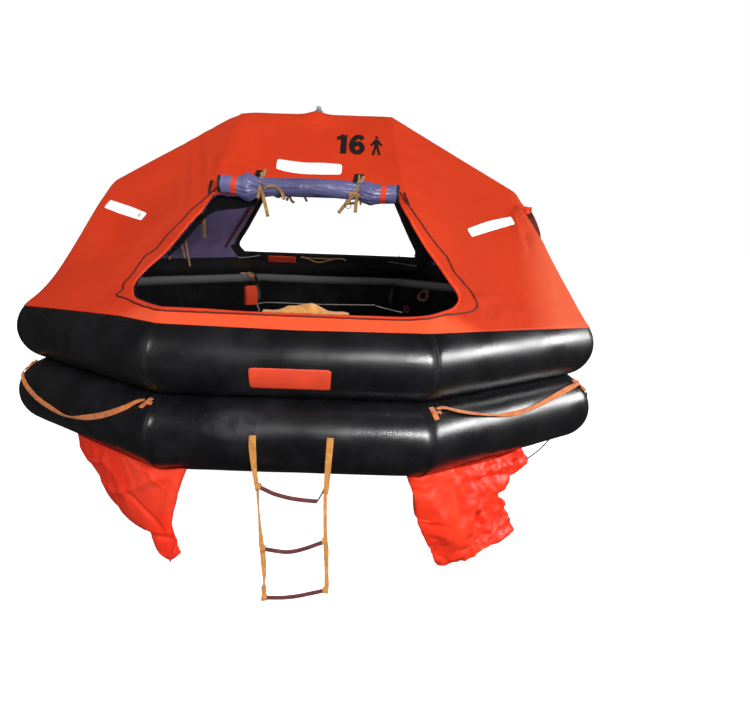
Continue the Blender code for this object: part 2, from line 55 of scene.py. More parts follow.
SHOULDER_Z = 1.0655
BOND_FRONT = 60.0
BOND_SIDE = 35.0
SKIN = 0.004
LINING_INSET = 0.025
SAG_DIAGONAL = 0.045
SAG_FRONT = 0.012
ROLL_Z = 1.020
LADDER_Y = -1.7573
RUN_LENGTH = WIDTH * math.tan(math.pi / SIDES)

ALONG_X = Vector((1.0, 0.0, 0.0))
ALONG_Y = Vector((0.0, 1.0, 0.0))
UPWARD = Vector((0.0, 0.0, 1.0))
WHITE = (1.0, 1.0, 1.0, 1.0)

# Camera, fitted to the photograph
EYE = Vector((0.381, -5.914, 0.9465))
YAW, PITCH, ROLL = 0.008, -0.164, 0.035
FOCAL_PX = 864.6
IMAGE_W = 750
SENSOR_MM = 36.0
VIEW_END = 200.0


def camera_axes():
    """Right, up and forward of the camera."""
    forward = Vector((math.sin(YAW) * math.cos(PITCH), math.cos(YAW) * math.cos(PITCH), math.sin(PITCH)))
    right = Vector((math.cos(YAW), -math.sin(YAW), 0.0))
    up = right.cross(forward)
    turned_right = right * math.cos(ROLL) + up * math.sin(ROLL)
    turned_up = up * math.cos(ROLL) - right * math.sin(ROLL)
    return turned_right, turned_up, forward


def make_camera():
    right, up, forward = camera_axes()
    lens = bpy.data.cameras.new("photo_camera")
    lens.sensor_fit = "HORIZONTAL"
    lens.sensor_width = SENSOR_MM
    lens.lens = SENSOR_MM * FOCAL_PX / IMAGE_W
    lens.clip_end = VIEW_END
    eye = bpy.data.objects.new("photo_camera", lens)
    turn = Matrix((right, up, -forward)).transposed()
    eye.matrix_world = Matrix.Translation(EYE) @ turn.to_4x4()
    bpy.context.scene.collection.objects.link(eye)
    bpy.context.scene.camera = eye


make_camera()


# Materials
def new_material(name, roughness, metallic=0.0, specular=0.5):
    made = bpy.data.materials.new(name)
    made.use_nodes = True
    tree = made.node_tree
    shader = tree.nodes["Principled BSDF"]
    shader.inputs["Roughness"].default_value = roughness
    shader.inputs["Metallic"].default_value = metallic
    shader.inputs["Specular IOR Level"].default_value = specular
    return made, tree, shader


def node(tree, kind, values=(), links=(), **settings):
    """A shader node with its settings, then (input, value) and (input, the output that feeds it)."""
    made = tree.nodes.new(kind)
    for key, value in settings.items():
        setattr(made, key, value)
    for key, value in values:
        made.inputs[key].default_value = value
    for key, source in links:
        tree.links.new(source, made.inputs[key])
    return made


def object_coordinates(tree, turn=(0.0, 0.0, 0.0)):
    place = node(tree, "ShaderNodeTexCoord")
    turned = node(tree, "ShaderNodeMapping", [("Rotation", turn)], [("Vector", place.outputs["Object"])])
    return turned.outputs["Vector"]


def noise_at(tree, vector, scale, detail, roughness=0.55):
    values = (("Scale", scale), ("Detail", detail), ("Roughness", roughness))
    return node(tree, "ShaderNodeTexNoise", values, [("Vector", vector)]).outputs["Fac"]


def ramp(tree, value, stops):
    """Colour that follows a value through (place, colour) stops."""
    made = node(tree, "ShaderNodeValToRGB", links=[("Fac", value)])
    elements = made.color_ramp.elements
    while len(elements) > 1:
        elements.remove(elements[-1])
    elements[0].position, elements[0].color = stops[0][0], (*stops[0][1], 1.0)
    for place, colour in stops[1:]:
        elements.new(place).color = (*colour, 1.0)
    return made.outputs["Color"]


def span(tree, value, low, high, out_low, out_high):
    """The range from low to high of a value, mapped to another range."""
    limits = (("From Min", low), ("From Max", high), ("To Min", out_low), ("To Max", out_high))
    return node(tree, "ShaderNodeMapRange", limits, [("Value", value)]).outputs["Result"]


def mixed(tree, amount, first, second):
    """Colour that goes from the first to the fixed second one with the amount."""
    links = [("Factor", amount), (6, first)]
    return node(tree, "ShaderNodeMix", [(7, (*second, 1.0))], links, data_type="RGBA").outputs[2]


def combined(tree, operation, first, second):
    return node(tree, "ShaderNodeMath", links=[(0, first), (1, second)], operation=operation).outputs[0]


def split_axes(tree, vector):
    return node(tree, "ShaderNodeSeparateXYZ", links=[(0, vector)]).outputs


def bump(tree, shader, heights):
    """Chains bump nodes of (height, strength, distance) into the shader's normal."""
    links = []
    for height, strength, distance in heights:
        values = (("Strength", strength), ("Distance", distance))
        made = node(tree, "ShaderNodeBump", values, links + [("Height", height)])
        links = [("Normal", made.outputs["Normal"])]
    tree.links.new(made.outputs["Normal"], shader.inputs["Normal"])


# Scale of the wave texture for threads one metre apart
WAVE_SCALE = 0.314


def weave(tree, pitch, tilt=0.0):
    """Height of a plain weave with threads 'pitch' metres apart."""
    total = None
    for axis in ("X", "Y", "Z"):
        values = (("Scale", WAVE_SCALE / pitch), ("Distortion", 0.0))
        place = object_coordinates(tree, (tilt, tilt * 0.7, tilt))
        wave = node(tree, "ShaderNodeTexWave", values, [("Vector", place)], bands_direction=axis)
        threads = wave.outputs["Fac"]
        total = threads if total is None else combined(tree, "ADD", total, threads)
    return total


CLOTH_THREADS, RUBBER_THREADS, STRAP_THREADS, NYLON_THREADS = 0.0016, 0.0012, 0.0022, 0.0010


def clouds(tree, vector, shades):
    """Soft clouds of a dark, a middle and a light shade."""
    return ramp(tree, noise_at(tree, vector, 2.2, 4.0), tuple(zip((0.30, 0.52, 0.75), shades)))


def cloth_finish(tree, shader, vector, colour, roughness, wrinkle, pitch=CLOTH_THREADS):
    """Colour, uneven gloss, small wrinkles and fine weave of coated cloth."""
    tree.links.new(colour, shader.inputs["Base Color"])
    gloss = span(tree, noise_at(tree, vector, 9.0, 5.0), 0.3, 0.7, roughness - 0.07, roughness + 0.08)
    tree.links.new(gloss, shader.inputs["Roughness"])
    wrinkles = noise_at(tree, vector, 14.0, 5.0, 0.5)
    bump(tree, shader, ((wrinkles, wrinkle, 0.006), (weave(tree, pitch), 0.12, 0.0004)))


def coated_fabric(name, shades, roughness, wrinkle, specular=0.35, pitch=CLOTH_THREADS):
    """Rubber-coated cloth in a dark, a middle and a light shade."""
    made, tree, shader = new_material(name, roughness, specular=specular)
    vector = object_coordinates(tree)
    cloth_finish(tree, shader, vector, clouds(tree, vector, shades), roughness, wrinkle, pitch)
    return made


# Grey of dust specks, of a painted highlight on tops, and of dust
SPECK_GREY, TOP_HIGHLIGHT_GREY, DUST_GREY = (0.10, 0.10, 0.11), (0.30, 0.30, 0.30), (0.045, 0.045, 0.052)


def dusty_patch(tree, vector, centre, reach):
    """Amount of dust: cloudy inside an ellipsoid and none outside it."""
    away = node(tree, "ShaderNodeVectorMath", [(1, centre)], [(0, vector)], operation="SUBTRACT")
    links = [(0, away.outputs["Vector"])]
    shrunk = node(tree, "ShaderNodeVectorMath", [(1, reach)], links, operation="DIVIDE")
    length = node(tree, "ShaderNodeVectorMath", links=[(0, shrunk.outputs["Vector"])], operation="LENGTH")
    inside = span(tree, length.outputs["Value"], 0.55, 1.15, 1.0, 0.0)
    cloudy = span(tree, noise_at(tree, vector, 14.0, 6.0, 0.6), 0.38, 0.62, 0.15, 0.8)
    return combined(tree, "MULTIPLY", inside, cloudy)


def rubber(name, colour, dust, roughness, patches=(), specular=0.75, painted_top_highlight=0.0):
    """Black coated tube fabric with soft dents, fine cloth grain, faint specks, a few dusty patches and, where
    asked, a painted highlight on the faces that look up.
    """
    made, tree, shader = new_material(name, roughness, specular=specular)
    vector = object_coordinates(tree)
    tone = ramp(tree, noise_at(tree, vector, 5.0, 8.0, 0.65), ((0.45, colour), (0.68, dust)))
    specks = span(tree, noise_at(tree, vector, 75.0, 2.0, 0.5), 0.735, 0.77, 0.0, 0.6)
    tone = mixed(tree, specks, tone, SPECK_GREY)
    # Painted highlight: faces that look up are made lighter grey
    if painted_top_highlight:
        facing = split_axes(tree, node(tree, "ShaderNodeNewGeometry").outputs["Normal"])
        tone = mixed(tree, span(tree, facing["Z"], 0.70, 0.92, 0.0, painted_top_highlight), tone, TOP_HIGHLIGHT_GREY)
    for centre, reach in patches:
        tone = mixed(tree, dusty_patch(tree, vector, centre, reach), tone, DUST_GREY)
    tree.links.new(tone, shader.inputs["Base Color"])
    gloss = span(tree, noise_at(tree, vector, 3.5, 3.0, 0.4), 0.35, 0.65, roughness - 0.04, roughness + 0.08)
    tree.links.new(gloss, shader.inputs["Roughness"])
    dents, grain = noise_at(tree, vector, 4.0, 3.0), noise_at(tree, vector, 38.0, 4.0, 0.5)
    bump(tree, shader, ((dents, 0.25, 0.012), (grain, 0.07, 0.002),
                        (weave(tree, RUBBER_THREADS), 0.10, 0.0003)))
    return made


# The canopy's cloth: its shades, painted shade that darkens its right side, a painted sheen on its far right
# edge, and painted light on the strip below the front door
CANOPY_SHADES = ((0.58, 0.031, 0.005), (0.64, 0.038, 0.006), (0.69, 0.046, 0.009))
SHADED_RIGHT_ORANGE, SHEEN_EDGE_ORANGE = (0.46, 0.030, 0.005), (0.60, 0.090, 0.034)
LIT_STRIP_ORANGE = (0.80, 0.085, 0.026)
CANOPY_ROUGHNESS = 0.6


def canopy_fabric(name):
    """Bright coated cloth with painted shade towards its right side, a painted sheen on its far right edge and
    painted light on the strip below the front door.
    """
    made, tree, shader = new_material(name, CANOPY_ROUGHNESS, specular=0.12)
    vector = object_coordinates(tree)
    axes = split_axes(tree, vector)
    # Painted light: a paler strip low on the front, just above the tube
    low = span(tree, axes["Z"], 0.46, 0.43, 0.0, 1.0)
    near = span(tree, axes["Y"], -1.38, -1.50, 0.0, 1.0)
    # Painted shade darkens the cloth towards the right; a painted sheen pales its far right edge
    shaded_right = span(tree, axes["X"], 0.15, 0.95, 0.0, 0.8)
    sheen_edge = span(tree, axes["X"], 1.28, 1.50, 0.0, 0.9)
    colour = mixed(tree, shaded_right, clouds(tree, vector, CANOPY_SHADES), SHADED_RIGHT_ORANGE)
    colour = mixed(tree, sheen_edge, colour, SHEEN_EDGE_ORANGE)
    colour = mixed(tree, combined(tree, "MULTIPLY", low, near), colour, LIT_STRIP_ORANGE)
    cloth_finish(tree, shader, vector, colour, CANOPY_ROUGHNESS, 0.22)
    return made


def webbing(name, dark, light):
    """Woven strap: rows of thread, fibres and worn spots."""
    made, tree, shader = new_material(name, 0.75, specular=0.25)
    vector = object_coordinates(tree)
    tone = noise_at(tree, vector, 26.0, 6.0, 0.7)
    tree.links.new(ramp(tree, tone, ((0.32, dark), (0.68, light))), shader.inputs["Base Color"])
    shader.inputs["Sheen Weight"].default_value = 0.25
    fibres = noise_at(tree, vector, 90.0, 4.0)
    bump(tree, shader, ((weave(tree, STRAP_THREADS, 0.2), 0.55, 0.0012), (fibres, 0.3, 0.001)))
    return made


def plain(name, colour, roughness, grain, metallic=0.0, strength=0.08, specular=0.5):
    """Moulded or painted surface with slight colour and roughness variation."""
    made, tree, shader = new_material(name, roughness, metallic, specular)
    vector = object_coordinates(tree)
    darker = tuple(c * 0.82 for c in colour)
    tone = ramp(tree, noise_at(tree, vector, grain * 0.3, 5.0), ((0.3, darker), (0.7, colour)))
    tree.links.new(tone, shader.inputs["Base Color"])
    rough = min(1.0, roughness * 1.2)
    gloss = span(tree, noise_at(tree, vector, grain, 4.0), 0.3, 0.7, roughness * 0.85, rough)
    tree.links.new(gloss, shader.inputs["Roughness"])
    bump(tree, shader, ((noise_at(tree, vector, grain * 2, 4.0), strength, 0.001),))
    return made


def glow(made, colour, strength):
    """Adds a little emitted light to a material: painted light for cloth and tape, an evenly bright white for
    the floor.
    """
    inputs = made.node_tree.nodes["Principled BSDF"].inputs
    inputs["Emission Color"].default_value = (*colour, 1.0)
    inputs["Emission Strength"].default_value = strength


# Dusty places on the tubes: centre and reach
DUSTY_PATCHES = (((-0.265, -1.725, -0.12), (0.17, 0.10, 0.075)), ((-0.75, -1.42, -0.25), (0.16, 0.12, 0.06)))
TUBE_BLACK = rubber("tube_black", (0.0045, 0.0045, 0.0055), (0.012, 0.012, 0.014), 0.27, DUSTY_PATCHES)
TUBE_SEAM = rubber("tube_seam", (0.0045, 0.0045, 0.0050), (0.012, 0.012, 0.013), 0.50, specular=0.35)
# Inside faces of the tubes: dull, with a painted highlight along their tops
TUBE_INSIDE = rubber("tube_inside", (0.0045, 0.0045, 0.0050), (0.010, 0.010, 0.011), 0.70, specular=0.04,
                     painted_top_highlight=0.6)
SEAM_BLACK = rubber("seam_black", (0.008, 0.008, 0.009), (0.02, 0.02, 0.022), 0.45)
FLOOR_BLACK = rubber("floor_rubber", (0.010, 0.010, 0.011), (0.02, 0.02, 0.021), 0.55)
LINING_BLACK = rubber("lining_shade_and_black", (0.006, 0.006, 0.007), (0.012, 0.012, 0.013), 0.5)
ORANGE = canopy_fabric("canopy_fabric")
ORANGE_HEM = coated_fabric("hem_fabric", ((0.62, 0.034, 0.008), (0.70, 0.045, 0.011), (0.75, 0.06, 0.016)),
                           0.6, 0.15, 0.2)
LAVENDER = coated_fabric("lining_fabric", ((0.13, 0.095, 0.20), (0.19, 0.145, 0.30), (0.26, 0.20, 0.38)),
                         0.55, 0.6, 0.25)
CURTAIN_BLUE = coated_fabric("curtain_fabric",
                             ((0.080, 0.074, 0.175), (0.125, 0.118, 0.265), (0.20, 0.19, 0.38)),
                             0.32, 0.9, 0.6)
CURTAIN_DARK = coated_fabric("curtain_edge",
                             ((0.010, 0.010, 0.014), (0.016, 0.016, 0.022), (0.03, 0.03, 0.04)), 0.5, 0.4)
POCKET_RED = coated_fabric("pocket_nylon", ((0.84, 0.024, 0.006), (0.93, 0.036, 0.009), (1.0, 0.078, 0.028)),
                           0.42, 0.55, pitch=NYLON_THREADS)
# Painted light: the pocket nylon glows a little, though it is no lamp
glow(POCKET_RED, (0.90, 0.030, 0.008), 0.03)
CUFF_BROWN = coated_fabric("cuff_fabric", ((0.060, 0.014, 0.008), (0.10, 0.022, 0.012), (0.16, 0.035, 0.018)),
                           0.6, 0.4, 0.2)
LINE_DARK = webbing("loop_weave", (0.030, 0.032, 0.015), (0.075, 0.070, 0.040))
LINE_GREY = webbing("line_weave", (0.12, 0.10, 0.09), (0.22, 0.20, 0.18))
WEB_ORANGE = webbing("webbing_weave", (0.42, 0.085, 0.008), (0.78, 0.22, 0.028))
WEB_AMBER = webbing("ladder_weave", (0.46, 0.17, 0.025), (0.74, 0.34, 0.08))
WEB_KHAKI = webbing("tie_weave", (0.20, 0.095, 0.025), (0.50, 0.27, 0.08))
WEB_MAROON = webbing("rung_weave", (0.085, 0.013, 0.016), (0.20, 0.040, 0.048))
WEB_RED = webbing("tape_weave", (0.16, 0.008, 0.008), (0.30, 0.02, 0.02))
THREAD = plain("seam_thread", (0.085, 0.006, 0.006), 0.7, 200.0)
PLATE_RED = plain("plate_rubber", (0.76, 0.060, 0.018), 0.45, 30.0)
WHITE_TAPE = plain("reflective_tape", (0.92, 0.92, 0.90), 0.35, 160.0, strength=0.15)
# Painted light: the white tape glows, as if it caught a lamp
glow(WHITE_TAPE, (1.0, 1.0, 1.0), 0.25)
PAINT_BLACK = plain("marking_ink", (0.018, 0.008, 0.008), 0.6, 120.0)
BOTTLE = plain("bottle_enamel", (0.42, 0.43, 0.43), 0.32, 40.0, metallic=0.1)
BRASS = plain("valve_metal", (0.60, 0.44, 0.20), 0.3, 80.0, metallic=1.0)
LAMP_CLEAR = plain("lamp_lens", (0.36, 0.37, 0.37), 0.12, 50.0, strength=0.02)
LAMP_BASE = plain("lamp_plastic", (0.16, 0.16, 0.16), 0.35, 80.0)
FACING_BLACK = plain("facing_cloth", (0.006, 0.006, 0.007), 0.9, 180.0, specular=0.04)
EDGE_GREY = plain("edge_tape", (0.22, 0.22, 0.22), 0.5, 120.0)

COLLECTION = bpy.data.collections.new("raft_looks")
bpy.context.scene.collection.children.link(COLLECTION)


def piece(name, mesh, surface, body="root", replaces=(), smooth=True):
    """A finished piece of the looks, riding on a CAD body."""
    made = bpy.data.objects.new(name, mesh)
    COLLECTION.objects.link(made)
    if not mesh.materials:
        mesh.materials.append(surface)
    if smooth:
        mesh.shade_smooth()
    if replaces:
        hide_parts(*replaces)
    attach(made, body)
    return made


def grid_mesh(name, rows, close=False):
    """A mesh through rows of points; 'close' joins the last point of each row to the first."""
    across = len(rows[0])
    points = [tuple(p) for row in rows for p in row]
    faces = []
    last = across if close else across - 1
    for i in range(len(rows) - 1):
        for j in range(last):
            k = (j + 1) % across
            faces.append((i * across + j, i * across + k, (i + 1) * across + k, (i + 1) * across + j))
    mesh = bpy.data.meshes.new(name)
    mesh.from_pydata(points, [], faces)
    mesh.update()
    return mesh


def add_rows(work, rows):
    """Adds a sheet of faces through rows of points to a bmesh."""
    made = [[work.verts.new(p) for p in row] for row in rows]
    for a, b in zip(made, made[1:]):
        for j in range(len(a) - 1):
            work.faces.new((a[j], a[j + 1], b[j + 1], b[j]))


def add_rings(work, rings):
    """Adds a tube of faces through closed rings of the bmesh's vertices."""
    for a, b in zip(rings, rings[1:]):
        for j in range(len(a)):
            n = (j + 1) % len(a)
            work.faces.new((a[j], a[n], b[n], b[j]))


def saved(work, mesh):
    """Writes a bmesh to a mesh and frees it."""
    work.to_mesh(mesh)
    work.free()
    return mesh


def outward_faces(mesh, widest_hole=0):
    """Closes holes of up to so many sides and turns the faces outward."""
    work = bmesh.new()
    work.from_mesh(mesh)
    if widest_hole:
        bmesh.ops.holes_fill(work, edges=work.edges, sides=widest_hole)
    bmesh.ops.recalc_face_normals(work, faces=work.faces)
    return saved(work, mesh)


def drop_loose(work):
    """Removes the vertices that no face uses."""
    loose = [v for v in work.verts if not v.link_faces]
    bmesh.ops.delete(work, geom=loose, context="VERTS")


def paint_faces(work, choose):
    """Gives each face the material whose number 'choose' tells for its middle."""
    for face in work.faces:
        face.material_index = choose(face.calc_center_median())


def add_materials(mesh, *surfaces):
    for surface in surfaces:
        mesh.materials.append(surface)


def solidify(thing, thickness, offset=0.0):
    step = thing.modifiers.new("cloth thickness", "SOLIDIFY")
    step.thickness = thickness
    step.offset = offset


def cloth_piece(name, rows, surface, thickness, body="root", replaces=()):
    """A thin piece of cloth through rows of points."""
    made = piece(name, outward_faces(grid_mesh(name, rows)), surface, body, replaces)
    solidify(made, thickness)


def fbm(place, scale, octaves=3, seed=0.0):
    """Smooth noise from about -1 to 1."""
    total, size, weight = 0.0, scale, 1.0
    shift = Vector((seed, seed * 1.7, -seed))
    for _ in range(octaves):
        total += noise.noise(place * size + shift) * weight
        size *= 2.0
        weight *= 0.5
    return total


def bell(x, width):
    return math.exp(-(x / width) ** 2)


def clamp(value):
    return max(0.0, min(1.0, value))


# Octagon and tubes. Places on them are told by s, which counts the corners passed, and by an angle round the
# tube in degrees, which is 0 on its outer side and 90 on top
def ring(s, half):
    """Place at s on an octagon whose sides are 'half' from its middle."""
    start = math.floor(s)
    reach = half / math.cos(math.pi / SIDES)
    step = math.tau / SIDES
    corners = [Vector((math.cos(step * (k + 0.5)), math.sin(step * (k + 0.5)))) for k in (start, start + 1)]
    return corners[0].lerp(corners[1], s - start) * reach


def on_tube(s, angle, centre_z, lift):
    """Place on a tube's surface, lifted off it."""
    turn = math.radians(angle)
    radius = TUBE_R + lift
    flat = ring(s, TUBE_HALF + radius * math.cos(turn))
    return Vector((flat.x, flat.y, centre_z + radius * math.sin(turn)))


def tube_normal(s, angle):
    """Outward direction on a tube's surface."""
    flat = ring(math.floor(s) + 0.5, 1.0).normalized()
    turn = math.radians(angle)
    return Vector((flat.x * math.cos(turn), flat.y * math.cos(turn), math.sin(turn)))


RUN_NORMALS = [ring(k + 0.5, 1.0).normalized() for k in range(SIDES)]


def reach_of(p):
    """Distance of a place from the raft's axis, square to the side of the octagon it is at."""
    return max(p.x * n.x + p.y * n.y for n in RUN_NORMALS)


RUN_STEPS, ROUND_STEPS, SEAM_STEPS = 30, 72, 64
# Height of the bonded flat above a tube's middle, and how far in the skin is taken as the cabin's side
FLAT_RISE = SPACING / 2 - 0.0004
CABIN_REACH = TUBE_HALF - 0.03
# Cross-section of a seam tape: place along the tube in runs, and lift
SEAM_SECTION = ((-0.012, -0.0030), (0.0, -0.0019), (0.012, -0.0030))
# Sine of the angle round the tube at which the seam tapes stop short of the other tube
SEAM_STOP = 0.93


def tube_lift(base, near, turn, seed):
    """How far the skin stands off its round section: pinched at the seams, wrinkled inside the corners."""
    pinch = 0.0016 * bell(near, 0.045)
    inner = max(0.0, -math.cos(turn))
    crease = inner * 0.007 * bell(near, 0.12) * math.sin(near * 150 + fbm(base, 4.0) * 3)
    return crease - pinch + 0.0022 * fbm(base, 3.0, 3, seed) - 0.0015


def tube_section(s, near, z, flat):
    """Points round a tube at s, flattened towards the other tube."""
    row = []
    for j in range(ROUND_STEPS):
        angle = 360.0 * j / ROUND_STEPS
        lift = tube_lift(on_tube(s, angle, z, 0.0), near, math.radians(angle), z * 9)
        point = on_tube(s, angle, z, lift)
        if (point.z - z) * flat > FLAT_RISE:
            point.z = z + flat * FLAT_RISE
        row.append(point)
    return row


def make_tube_skin(name, z, flat):
    """One buoyancy tube: each run swells a little between its mitred seams."""
    rows = []
    for k in range(SIDES):
        for i in range(RUN_STEPS):
            part = i / RUN_STEPS
            rows.append(tube_section(k + part, min(part, 1 - part), z, flat))
    rows.append(rows[0])
    mesh = grid_mesh(name + "_skin", rows, close=True)
    add_materials(mesh, TUBE_BLACK, TUBE_INSIDE)
    work = bmesh.new()
    work.from_mesh(mesh)
    bmesh.ops.remove_doubles(work, verts=work.verts, dist=0.00001)
    bmesh.ops.recalc_face_normals(work, faces=work.faces)
    paint_faces(work, lambda middle: int(reach_of(middle) < CABIN_REACH))
    piece(name + "_skin", saved(work, mesh), TUBE_BLACK, replaces=(name,))


def make_tube_seams(name, z, flat):
    """Tapes over the mitred seams of a tube, open where the tubes are bonded."""
    work = bmesh.new()
    for k in range(SIDES):
        rows = [[work.verts.new(on_tube((k + along) % SIDES, 360.0 * j / SEAM_STEPS, z, lift))
                 for j in range(SEAM_STEPS)] for along, lift in SEAM_SECTION]
        for a, b in zip(rows, rows[1:]):
            for j in range(SEAM_STEPS):
                n = (j + 1) % SEAM_STEPS
                if math.sin(math.radians(360.0 * (j + 0.5) / SEAM_STEPS)) * flat < SEAM_STOP:
                    work.faces.new((a[j], a[n], b[n], b[j]))
    drop_loose(work)
    bmesh.ops.recalc_face_normals(work, faces=work.faces)
    piece(name + "_seams", saved(work, bpy.data.meshes.new(name + "_seams")), TUBE_SEAM)


for tube_name, tube_z, flat_side in (("upper_tube", UPPER_Z, -1), ("lower_tube", LOWER_Z, 1)):
    make_tube_skin(tube_name, tube_z, flat_side)
    make_tube_seams(tube_name, tube_z, flat_side)


# Canopy
# The fabric stands higher than its solid, and its ridge is narrower: shoulder x and z, half the ridge, and
# the slack at the foot
SHAPES = {"left": (SHOULDER_X + 0.013, SHOULDER_Z + 0.036, RIDGE_HALF - 0.003, 0.029),
          "right": (SHOULDER_X + 0.002, SHOULDER_Z + 0.045, RIDGE_HALF - 0.026, 0.004)}
SKIN_RIDGE_Z = RIDGE_Z + 0.030
BUMP_RISE = 0.022


def offset_outline(distance, side):
    """Corners of the arch's outline a distance inside the fabric, from foot to middle, and its normals."""
    shoulder_x, shoulder_z, ridge_half, _ = SHAPES[side]
    bond = on_tube(7.5, BOND_SIDE, UPPER_Z, 0.0)
    outline = [Vector((bond.x, bond.z)), Vector((shoulder_x, shoulder_z)), Vector((ridge_half, SKIN_RIDGE_Z)),
               Vector((0.0, SKIN_RIDGE_Z))]
    lines = []
    for a, b in zip(outline, outline[1:]):
        along = (b - a).normalized()
        normal = Vector((along.y, -along.x))
        lines.append((a - normal * distance, along, normal))
    moved = [lines[0][0]]
    for (p, d, n), (q, e, m) in zip(lines, lines[1:]):
        moved.append(p + d * ((q - p).dot(m) / d.dot(m)))
    moved.append(Vector((0.0, SKIN_RIDGE_Z - distance)))
    return moved, [line[2] for line in lines]


ARCH_LINES = {side: offset_outline(SKIN + ARCH_OVER, side) for side in SHAPES}


# How far the hem reaches down the tube past its solid, in degrees for places along the tube
HEM_DROP = {"left": ((5.5, 7.5), (5.95, 3.0), (6.25, -3.5), (7.0, -2.0), (7.5, 0.0)),
            "right": ((5.5, 7.5), (6.0, 5.5), (7.0, 4.0), (7.5, 4.0))}


def between(table, x):
    """Value at x on a line of places and values."""
    for (a, low), (b, high) in zip(table, table[1:]):
        if x <= b:
            return low + (high - low) * max(0.0, (x - a) / (b - a))
    return table[-1][1]


def bond_angle(s, hand):
    """Angle round the upper tube at which the fabric's hem lies."""
    return BOND_FRONT + (BOND_SIDE - BOND_FRONT) * clamp(s - 6.0) - between(HEM_DROP[hand], s)


def arch_at(s, hand):
    """Crown of the canopy over the arch, its outward direction and reach, for the rib at s."""
    (foot, shoulder, end, middle), (low, slope, level) = ARCH_LINES[hand]
    outer = []
    for corner, before, after in ((shoulder, low, slope), (end, slope, level)):
        bisector = (before + after).normalized()
        reach = ARCH_OVER / bisector.dot(before)
        outer.append((corner + bisector * ARCH_OVER / bisector.dot(before), bisector, reach))
    if s > 7.0:
        side = foot.lerp(shoulder, 0.45) + low * ARCH_OVER
        return outer[0][0].lerp(side, (s - 7.0) / 0.5), low, ARCH_OVER
    if s == 7.0:
        return outer[0]
    if s > 6.0:
        return outer[1][0].lerp(outer[0][0], s - 6.0), slope, ARCH_OVER
    if s == 6.0:
        return outer[1]
    return outer[1][0].lerp(middle + level * ARCH_OVER, (6.0 - s) / 0.5), level, ARCH_OVER


def sag_at(s):
    """How far the middle of the rib at s pulls in."""
    if s >= 7.0:
        return 0.0
    if s >= 6.0:
        return SAG_DIAGONAL * math.sin(math.pi * (7.0 - s)) ** 2 + SAG_FRONT * (7.0 - s) ** 2
    return SAG_FRONT


def bow_at(s, part, slack):
    """How far the rib at s pulls in at a part of its way up; the slack of a side corner hangs low."""
    low = slack * bell(s - 7.0, 0.36)
    return sag_at(s) * 4 * part * (1 - part) + low * 9.48 * part * (1 - part) ** 3


HEM_ROWS, STRAIGHT_ROWS, ARC_ROWS = 3, 56, 8
# Lift of the hem off the tube, and the shortest arc over the arch that gets rows of its own
HEM_LIFT, SHORTEST_ARC = 0.0012, 0.004


def rib(s, hand, inset=0.0):
    """Points of the canopy's outer side from its hem on the tube up to the ridge, s from 5.5 to 7.5."""
    crown2, normal2, reach = arch_at(s, hand)
    slack = SHAPES[hand][3]
    crown = Vector((crown2.x, 0.0, crown2.y))
    normal = Vector((normal2.x, 0.0, normal2.y))
    centre = crown - normal * reach
    bond = bond_angle(s, hand)
    start = on_tube(s, bond, UPPER_Z, HEM_LIFT)
    inward = -ring(s, 1.0).normalized()
    flat = Vector((crown.x - start.x, crown.y - start.y))
    slope = math.atan2(crown.z - start.z, flat.dot(inward))
    dip = math.atan(100 * bow_at(s, 0.01, slack) / (crown - start).length)
    leave_angle = max(bond, 90.0 - math.degrees(slope - dip)) + 3.0
    leave = on_tube(s, leave_angle, UPPER_Z, HEM_LIFT + 0.0006)
    side = leave - centre
    along = side.dot(normal)
    across = side - normal * along
    width = across.length
    across.normalize()
    phi = math.atan2(width, along)
    arc = max(0.0, phi - math.acos(min(1.0, reach / math.hypot(along, width))))
    if s >= 7.0:
        arc = 0.0
    touch = centre + (normal * math.cos(arc) + across * math.sin(arc)) * reach
    run = touch - leave
    inside = run.cross(Vector((-inward.y, inward.x, 0.0))).normalized()
    if inside.z > 0:
        inside = -inside
    points = []
    if inset == 0.0:
        for i in range(HEM_ROWS):
            points.append(on_tube(s, bond + (leave_angle - bond) * i / HEM_ROWS, UPPER_Z, HEM_LIFT))
    for i in range(STRAIGHT_ROWS + 1):
        part = i / STRAIGHT_ROWS
        points.append(leave + run * part + inside * (bow_at(s, part, slack) + inset))
    if inset == 0.0:
        if arc * reach > SHORTEST_ARC:
            for i in range(1, ARC_ROWS + 1):
                turn = arc * (1 - i / ARC_ROWS)
                points.append(centre + (normal * math.cos(turn) + across * math.sin(turn)) * reach)
        else:
            last, before = points[-1], points[-3]
            points = points[:-2]
            for i in range(1, ARC_ROWS + 3):
                points.append(before.lerp(last, i / (ARC_ROWS + 2)))
    return points


# Places along the tube of the canopy's ribs, from the middle of the front to the middle of a side
COLUMNS = ([5.5 + 0.5 * i / 22 for i in range(22)] + [6.0 + i / 60 for i in range(60)]
           + [7.0 + 0.5 * i / 36 for i in range(37)])


def canopy_ribs(inset=0.0):
    """Ribs of the front half from the left side round to the right side."""
    right = [rib(s, "right", inset) for s in COLUMNS]
    left = [[Vector((-p.x, p.y, p.z)) for p in rib(s, "left", inset)] for s in COLUMNS]
    return list(reversed(left[1:])) + right


def faces_up(work):
    """Turns the faces of a sheet so that its top looks up."""
    bmesh.ops.recalc_face_normals(work, faces=work.faces)
    top = max(work.faces, key=lambda f: f.calc_center_median().z)
    if top.normal.z < 0:
        bmesh.ops.reverse_faces(work, faces=work.faces)


# How the sheet is rounded over each shoulder: side, reach and rounds of smoothing
ROUNDING = {"left": (-1, 0.05, 4), "right": (1, 0.10, 14)}


